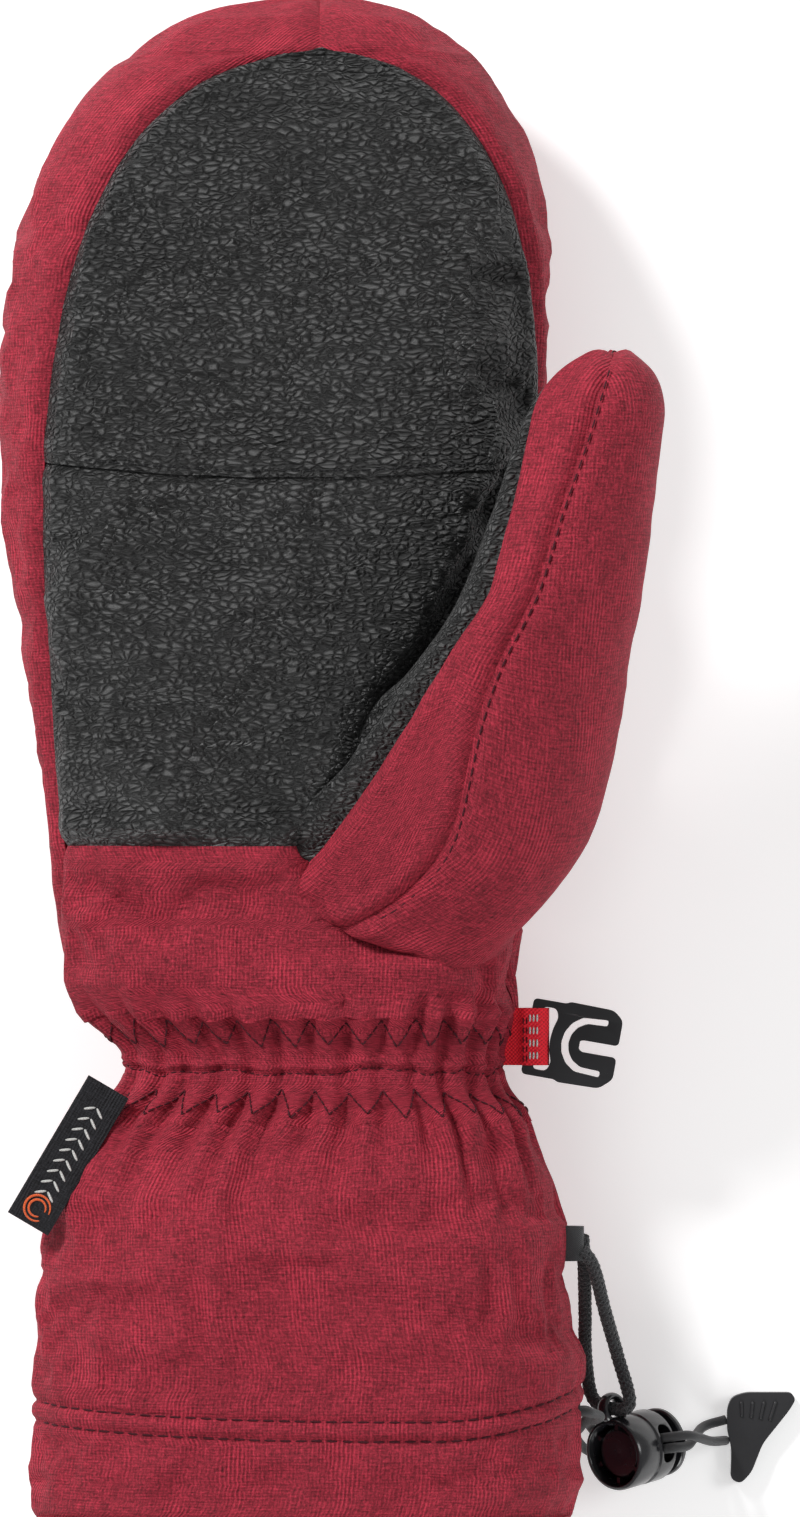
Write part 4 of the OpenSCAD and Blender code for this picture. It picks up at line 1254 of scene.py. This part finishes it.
SLIDE_WAY = np.array([math.cos(math.radians(LOCK_TURN)), math.sin(math.radians(LOCK_TURN)), 0])


def braided(name, path, d, material):
    """A round braid: strands wind both ways and pass over and under each other."""
    path = evenly(path, 0.55)
    n, b = frames_along(path)
    along = arc_lengths(path[:, None, :], 0)[:, 0]
    strands, count, lay = [], 6, 8.5
    for way in (1, -1):
        for k in range(count):
            turn = way * 2 * math.pi * along / lay + 2 * math.pi * (k + 0.25) / count
            over = 0.1 * way * np.cos(turn * count / way)
            radius = d / 2 - 0.42 + over
            strands.append(path + radius[:, None] * (np.cos(turn)[:, None] * n
                                                     + np.sin(turn)[:, None] * b))
    core = d / 2 - 0.5
    return tubes(name, strands + [path], [STRAND_R] * len(strands) + [core], material, 6)


def make_cords():
    routes = (("anchor_cord", "anchor_braid", ANCHOR_ROUTE, ANCHOR_D),
              ("drawcord_end_a", "elastic_end_a", END_ROUTE_A, ELASTIC_D),
              ("drawcord_end_b", "elastic_end_b", END_ROUTE_B, ELASTIC_D))
    for node, name, route, d in routes:
        if node == "anchor_cord":
            path = spline(route, 8)
            piece = braided(name, path, d, "cord")
            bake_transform(piece)
        else:
            inside = np.array(route[0]) - IN_TUNNEL * SLIDE_WAY
            path = spline([tuple(inside)] + route, 8)
            piece = tubes(name, [evenly(path, 0.8)], d / 2, "smooth_cord", 12)
            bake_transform(piece)
        hand_in(piece, node)


# ---------------------------------------------------------------- hardware

LOCK_D = 16.5
BARREL_L = 13.0
BORE_D = 9.4


def lock_matrix():
    turn = Matrix.Rotation(math.radians(LOCK_TURN), 4, "Z")
    tilt = Matrix.Rotation(math.radians(LOCK_TILT), 4, "Y")
    return Matrix.Translation(LOCK_AT) @ turn @ tilt


def placed(points, matrix):
    m = np.array(matrix)
    return np.asarray(points) @ m[:3, :3].T + m[:3, 3]


def lathe(profile, sides=64):
    """Closed profile of (radius, height) turned about Z."""
    profile = np.asarray(profile, float)
    turn = np.linspace(0, 2 * math.pi, sides, endpoint=False)
    points = np.stack([profile[:, None, 0] * np.cos(turn), profile[:, None, 0] * np.sin(turn),
                       np.repeat(profile[:, 1:2], sides, axis=1)], axis=2)
    return points.reshape(-1, 3), grid_faces(len(profile), sides, True, True)


def boolean(obj, cutter, operation="DIFFERENCE"):
    mod = obj.modifiers.new("cut", "BOOLEAN")
    mod.operation = operation
    mod.solver = "EXACT"
    mod.object = cutter
    bpy.context.view_layer.objects.active = obj
    for other in bpy.context.selected_objects:
        other.select_set(False)
    obj.select_set(True)
    bpy.ops.object.modifier_apply(modifier=mod.name)
    bpy.data.objects.remove(cutter)


def bevelled(obj, width, segments):
    mod = obj.modifiers.new("bevel", "BEVEL")
    mod.width = width * MM
    mod.segments = segments
    mod.limit_method = "ANGLE"
    mod.angle_limit = math.radians(35)


def slot_cutter(width, z0, z1, length):
    """Solid of a slot along X through the lock."""
    r = (z1 - z0) / 2
    turn = np.linspace(-math.pi / 2, math.pi / 2, 12)
    side = width / 2 - r
    right = np.stack([side + r * np.cos(turn), r * np.sin(turn)], axis=1)
    outline = np.concatenate([right, -right])
    count = len(outline)
    points = [(x, p[0], z0 + r + p[1]) for x in (-length, length) for p in outline]
    faces = [(k, (k + 1) % count, count + (k + 1) % count, count + k) for k in range(count)]
    faces += [tuple(reversed(range(count))), tuple(range(count, 2 * count))]
    return lock_solid("cutter", points, faces, False)


def ear_ring(outer, inner, thick, centre):
    """The ear that the anchor cord passes through, its axis along X."""
    mid, r = (outer + inner) / 4, (outer - inner) / 4
    ring = []
    for t in np.linspace(0, 2 * math.pi, 40, endpoint=False):
        for s in np.linspace(0, 2 * math.pi, 14, endpoint=False):
            q = mid + r * math.cos(s)
            ring.append((thick / 2 * math.sin(s), q * math.cos(t), q * math.sin(t)))
    return lock_solid("ear", np.array(ring) + np.array(centre), grid_faces(40, 14, True, True))


def lock_solid(name, points, faces, smooth=True):
    return mesh_object(name, placed(points, lock_matrix()), faces, "lock", smooth=smooth)


BOX = [(3, 2, 1, 0), (4, 5, 6, 7), (0, 1, 5, 4), (1, 2, 6, 5), (2, 3, 7, 6), (3, 0, 4, 7)]


def barrel_rib(t, inner_r, outer_r):
    """One of the ribs between the barrel's boss and its wall, at angle t."""
    side = np.array([-math.sin(t), math.cos(t), 0]) * 0.45
    along = np.array([math.cos(t), math.sin(t), 0])
    corners = [along * q + side * s + np.array([0, 0, z])
               for z in (6.9, 11.4) for q, s in ((inner_r, -1), (outer_r, -1),
                                                 (outer_r, 1), (inner_r, 1))]
    return lock_solid("rib", corners, BOX, False)


def make_barrel():
    r, b = LOCK_D / 2, BORE_D / 2
    wall, boss = r - 1.2, b + 1
    profile = [(b, 0), (r - 0.9, 0), (r - 0.25, 0.25), (r, 0.9), (r, 5.4), (r - 0.35, 5.8),
               (r - 0.35, 6.6), (r, 7.0), (r, BARREL_L - 0.8), (r - 0.25, BARREL_L - 0.2),
               (r - 0.7, BARREL_L), (wall + 0.25, BARREL_L), (wall, BARREL_L - 0.4),
               (wall, 7.2), (wall - 0.5, 6.8), (boss + 0.4, 6.8), (boss, 7.2),
               (boss, 10.4), (boss - 0.5, 10.9), (0.02, 10.9), (0.02, 9.7), (b, 9.7)]
    barrel = lock_solid("lock_barrel_body", *lathe(profile))
    boolean(barrel, slot_cutter(8.8, 1.2, 4.9, 12))
    for k in range(6):
        boolean(barrel, barrel_rib(k * math.pi / 3 + 0.3, boss - 0.2, wall + 0.2), "UNION")
    boolean(barrel, ear_ring(7.6, 4.2, 3.0, (0, 10, 10)), "UNION")
    bevelled(barrel, 0.18, 2)
    return barrel


def make_plunger():
    cap_r, stem = LOCK_D / 2 - 0.5, BORE_D / 2 - 0.2
    profile = [(0.02, -4), (cap_r - 1.2, -4), (cap_r - 0.4, -3.8), (cap_r, -3.4),
               (cap_r, -2.6), (cap_r - 0.3, -2.25), (stem + 0.3, -2.2), (stem, -1.9),
               (stem, 4.9), (stem - 0.4, 5.3), (0.02, 5.3)]
    plunger = lock_solid("lock_plunger_body", *lathe(profile))
    boolean(plunger, slot_cutter(7.0, -1.3, 4.8, 12))
    bevelled(plunger, 0.15, 2)
    return plunger


SPRING_LOW, SPRING_HIGH = 5.75, 9.25
SPRING_R, SPRING_TURNS = 3.5, 3


def make_spring():
    turns = np.linspace(0, SPRING_TURNS * 2 * math.pi, 110)
    coil = np.stack([SPRING_R * np.cos(turns), SPRING_R * np.sin(turns),
                     SPRING_LOW + (SPRING_HIGH - SPRING_LOW) * turns / turns[-1]], axis=1)
    return tubes("lock_spring_wire", [placed(coil, lock_matrix())], 0.3, "spring", 10)


def make_lock():
    barrel, plunger, spring = make_barrel(), make_plunger(), make_spring()
    hand_in(barrel, "lock_barrel", "lock")
    hand_in(plunger, "lock_plunger", "plunger")
    hand_in(spring, "lock_spring", "lock")
    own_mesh(spring)
    return [barrel, plunger, spring]


TAB_AT = (90, -152, 0.2)
TAB_T = 3.6
TAB_OUTLINE = [(1, 7.5), (4, 8.6), (14.5, 8.6), (15.5, 7), (14, 4.5), (8, -3), (5.5, -9.5),
               (3, -12), (0.8, -11), (1, -4), (0, 0), (0, 5)]


def rounded_outline(points, radius, steps=5):
    """Outline with its corners rounded."""
    points = np.asarray(points, float)
    out = []
    for k, p in enumerate(points):
        before, after = points[k - 1], points[(k + 1) % len(points)]
        a, b = unit(before - p), unit(after - p)
        reach = min(radius, 0.45 * np.linalg.norm(before - p),
                    0.45 * np.linalg.norm(after - p))
        start, end = p + a * reach, p + b * reach
        for t in np.linspace(0, 1, steps):
            out.append((1 - t) ** 2 * start + 2 * t * (1 - t) * p + t ** 2 * end)
    return np.array(out)


def plate(name, outline, z0, z1, material, matrix, holes=()):
    """Flat plate between two heights with through holes."""
    loops = [np.asarray(outline)] + [np.asarray(h) for h in holes]
    curve = bpy.data.curves.new(name, "CURVE")
    curve.dimensions = "2D"
    curve.fill_mode = "BOTH"
    curve.extrude = (z1 - z0) / 2 * MM
    for loop in loops:
        line = curve.splines.new("POLY")
        line.points.add(len(loop) - 1)
        for point, xy in zip(line.points, loop):
            point.co = (xy[0] * MM, xy[1] * MM, 0, 1)
        line.use_cyclic_u = True
    holder = bpy.data.objects.new(name + "_curve", curve)
    bpy.context.scene.collection.objects.link(holder)
    mesh = bpy.data.meshes.new_from_object(holder)
    bpy.data.objects.remove(holder)
    mesh.name = name
    shift = matrix.copy()
    shift.translation = shift.translation * MM
    mesh.transform(shift @ Matrix.Translation((0, 0, (z0 + z1) / 2 * MM)))
    obj = bpy.data.objects.new(name, mesh)
    bpy.context.scene.collection.objects.link(obj)
    mesh.materials.clear()
    mesh.materials.append(MATERIALS[material])
    weld = obj.modifiers.new("weld", "WELD")
    weld.merge_threshold = 0.01 * MM
    mesh.shade_smooth()
    return obj


def make_tab():
    outline = rounded_outline(TAB_OUTLINE, 1.6)
    place = Matrix.Translation(TAB_AT)
    tab = plate("pull_tab_body", outline, 0, TAB_T, "tab", place)
    bevelled(tab, 0.9, 4)
    hand_in(tab, "pull_tab", "tab")
    ridges = [[(3.2 + 2.6 * k, 6.6, TAB_T), (3.3 + 2.1 * k, 3.2 - 0.3 * k, TAB_T)]
              for k in range(4)]
    paths = [evenly(placed(r, place), 0.6) for r in ridges]
    grip = tubes("pull_tab_ridges", paths, 0.42, "tab", 8)
    hand_in(grip, None, "tab")
    return tab


EYE = (45.75, -62.3, 27.0)
CLIP_TURN = -10.0
CLIP_T = 3.4


def make_clip():
    place = Matrix.Translation(EYE) @ Matrix.Rotation(math.radians(CLIP_TURN), 4, "Z")
    arm_in, arm_out, end = 7.1, 8.6, 19.3
    outline = rounded_outline([(-1.2, -arm_out), (6.2, -arm_out), (7.2, -arm_out - 0.5),
                               (16.5, -arm_out - 0.3), (end, -6.4), (end, -1.5),
                               (11.4, -1.5), (10.6, -0.9), (10.6, 0.9), (11.4, 1.15),
                               (end, 1.15), (end, 7.0), (17, arm_out + 0.3),
                               (7.2, arm_out + 0.5), (6.2, arm_out), (-1.2, arm_out)], 1.1)
    window = rounded_outline([(1.2, -arm_in), (4.2, -arm_in), (5.0, -5.2), (4.2, -2.6),
                              (3.9, 0), (4.2, 2.6), (5.0, 5.2), (4.2, arm_in),
                              (1.2, arm_in)], 1.0)
    slot = rounded_outline([(16.2, -6.5), (16.2, -5.1), (11.6, -4.9), (9.6, -3.7),
                            (8.5, -2), (8.1, 0), (8.5, 2), (9.6, 3.7), (11.6, 4.9),
                            (16.2, 5.1), (16.2, 6.5), (10.4, 6.1), (8.2, 4.5), (6.9, 2.3),
                            (6.5, 0), (6.9, -2.3), (8.2, -4.5), (10.4, -6.1)], 0.6)
    clip = plate("hook_clip_body", outline, -CLIP_T / 2, CLIP_T / 2, "clip", place,
                 (window, slot))
    bevelled(clip, 0.5, 3)
    hand_in(clip, "hook_clip", "clip")


def make_webbing():
    """A flat strap folded round the clip's bar and sewn into the seam."""
    turn = np.linspace(-math.pi / 2, math.pi / 2, 14)
    eye_r, half = 2.0, 1.15
    nose = np.stack([EYE[0] + half + eye_r * np.cos(turn), eye_r * np.sin(turn)], axis=1)
    back = [(EYE[0] - half - 0.5, eye_r), (42.6, 1.2), (40.6, 0.75), (39.2, 0.7)]
    front = [(x, -z) for x, z in reversed(back)]
    profile = np.array(front + nose.tolist() + back)
    profile = evenly(np.c_[profile, np.zeros(len(profile))], 0.5)[:, :2]
    width = np.linspace(-6.4, 6.4, 22)
    grid = np.array([[(x, EYE[1] + w, EYE[2] + z) for x, z in profile] for w in width])
    flare = 0.25 * np.sin(grid[..., 1] * 0.9) * (grid[..., 2] - EYE[2]) * 0.2
    grid[..., 0] += flare
    strap = grid_object("webbing_strap", grid, "webbing", 1.15)
    strap.modifiers["thickness"].offset = 0
    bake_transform(strap)
    hand_in(strap, "webbing_loop")
    paths = []
    for x in (43.6, 44.4):
        line = np.array([(x, EYE[1] + w, EYE[2] + 2.62) for w in np.linspace(-5.6, 5.6, 30)])
        paths += dashes(line, 1.5, 0.7)
    thread_piece("webbing_stitches", paths, 0.35, "thread", "webbing")
    bars = [np.array([(x, EYE[1] + w + v, EYE[2] + 2.66) for v in np.linspace(-0.8, 0.8, 6)])
            for w in (-4.2, -1.4, 1.4, 4.2) for x in (45.1, 45.9, 46.7)]
    thread_piece("webbing_marks", bars, 0.5, "mark", "webbing")


LABEL_AT = (-49, -73.3, 38.8)
LABEL_W, LABEL_L, LABEL_T = 10.4, 35.5, 1.2


def label_matrix():
    turn = Matrix.Rotation(math.radians(-30.5), 4, "Z")
    drop = Matrix.Rotation(math.radians(-5), 4, "X")
    return Matrix.Translation(LABEL_AT) @ turn @ drop


def label_height(u, v):
    """The tape curls a little along its length and across its width."""
    return LABEL_T + 0.35 * np.sin(v * 0.16) + 0.018 * u ** 2 * (0.4 + v / -60)


def on_label(line):
    """A line drawn flat, laid on the tape's surface."""
    line[:, 2] = label_height(line[:, 0], line[:, 1]) + 0.02
    return placed(line, label_matrix())


def make_label():
    """Folded woven tape with a plain row of slanted marks and a ring."""
    v, u = np.meshgrid(np.linspace(0, -LABEL_L, 60),
                       np.linspace(-LABEL_W / 2, LABEL_W / 2, 22), indexing="ij")
    edge = -0.25 * (np.abs(u) / (LABEL_W / 2)) ** 8
    grid = placed(np.stack([u, v, label_height(u, v) + edge], axis=2), label_matrix())
    tape = grid_object("label_tape_body", grid[::-1], "label", LABEL_T - 0.1)
    hand_in(tape, "side_label", "label")
    marks = [on_label(evenly([(s * 0.2, y, 0), (s * 2.3, y - 1.5, 0)], 0.4))
             for y in -5.5 - 2.7 * np.arange(9) for s in (-1, 1)]
    thread_piece("label_marks", marks, 0.62, "mark", "label")
    turn = np.linspace(0, 2 * math.pi * 0.86, 40)
    rings = [on_label(np.stack([r * np.cos(turn), -31.4 + r * np.sin(turn), 0 * turn],
                               axis=1)) for r in (1.9, 2.9)]
    thread_piece("label_ring", rings, 0.6, "ring", "label")


EYELET_AT = (55.6, TUNNEL_Y, 31)


def make_anchor_tab():
    y, t = np.meshgrid(np.linspace(-112.4, -104.6, 12), np.linspace(0, 1, 21),
                       indexing="ij")
    loop = np.stack([51.8 + 5.4 * np.sin(math.pi * t) ** 0.8, y,
                     31.2 - 2.6 * np.cos(math.pi * t)], axis=2)
    tab = grid_object("anchor_tab_loop", loop[:, ::-1], "smooth_cord", 0.8)
    hand_in(tab, "cord_anchor_tab", "gauntlet")


def make_eyelet():
    """Rubber eyelet with a hole for each end of the drawcord."""
    place = Matrix.Translation(EYELET_AT) @ Matrix.Rotation(math.pi / 2, 4, "Y")
    turn = np.linspace(0, 2 * math.pi, 24, endpoint=False)
    holes = [np.stack([s * 2.6 + 1.5 * np.cos(turn), 1.5 * np.sin(turn)], axis=1)
             for s in (-1, 1)]
    outline = rounded_outline([(-4.5, -2.8), (4.5, -2.8), (4.5, 2.8), (-4.5, 2.8)], 1.6)
    eyelet = plate("cord_eyelet", outline, -0.7, 0.7, "tab", place, holes)
    bevelled(eyelet, 0.3, 2)
    hand_in(eyelet, "cord_grommet", "gauntlet")


def make_drawcord():
    """The elastic's turn inside the tunnel."""
    ring = skin(np.full(180, TUNNEL_Y), np.linspace(9, 351, 180), 2.6)
    cord = tubes("drawcord_ring", [ring], 1.0, "smooth_cord", 10)
    hand_in(cord, "drawcord", "gauntlet")


# ---------------------------------------------------------------- build

make_camera()
make_stage()
lock_pieces = make_lock()
tab_piece = make_tab()
make_cords()
make_hand()
make_thumb()
make_wrist()
make_gauntlet()
make_hem()
make_layers()
make_hem_stitches()
make_wrist_stitches()
make_palm_stitches()
make_thumb_stitches()
make_clip()
make_webbing()
make_label()
make_anchor_tab()
make_eyelet()
make_drawcord()
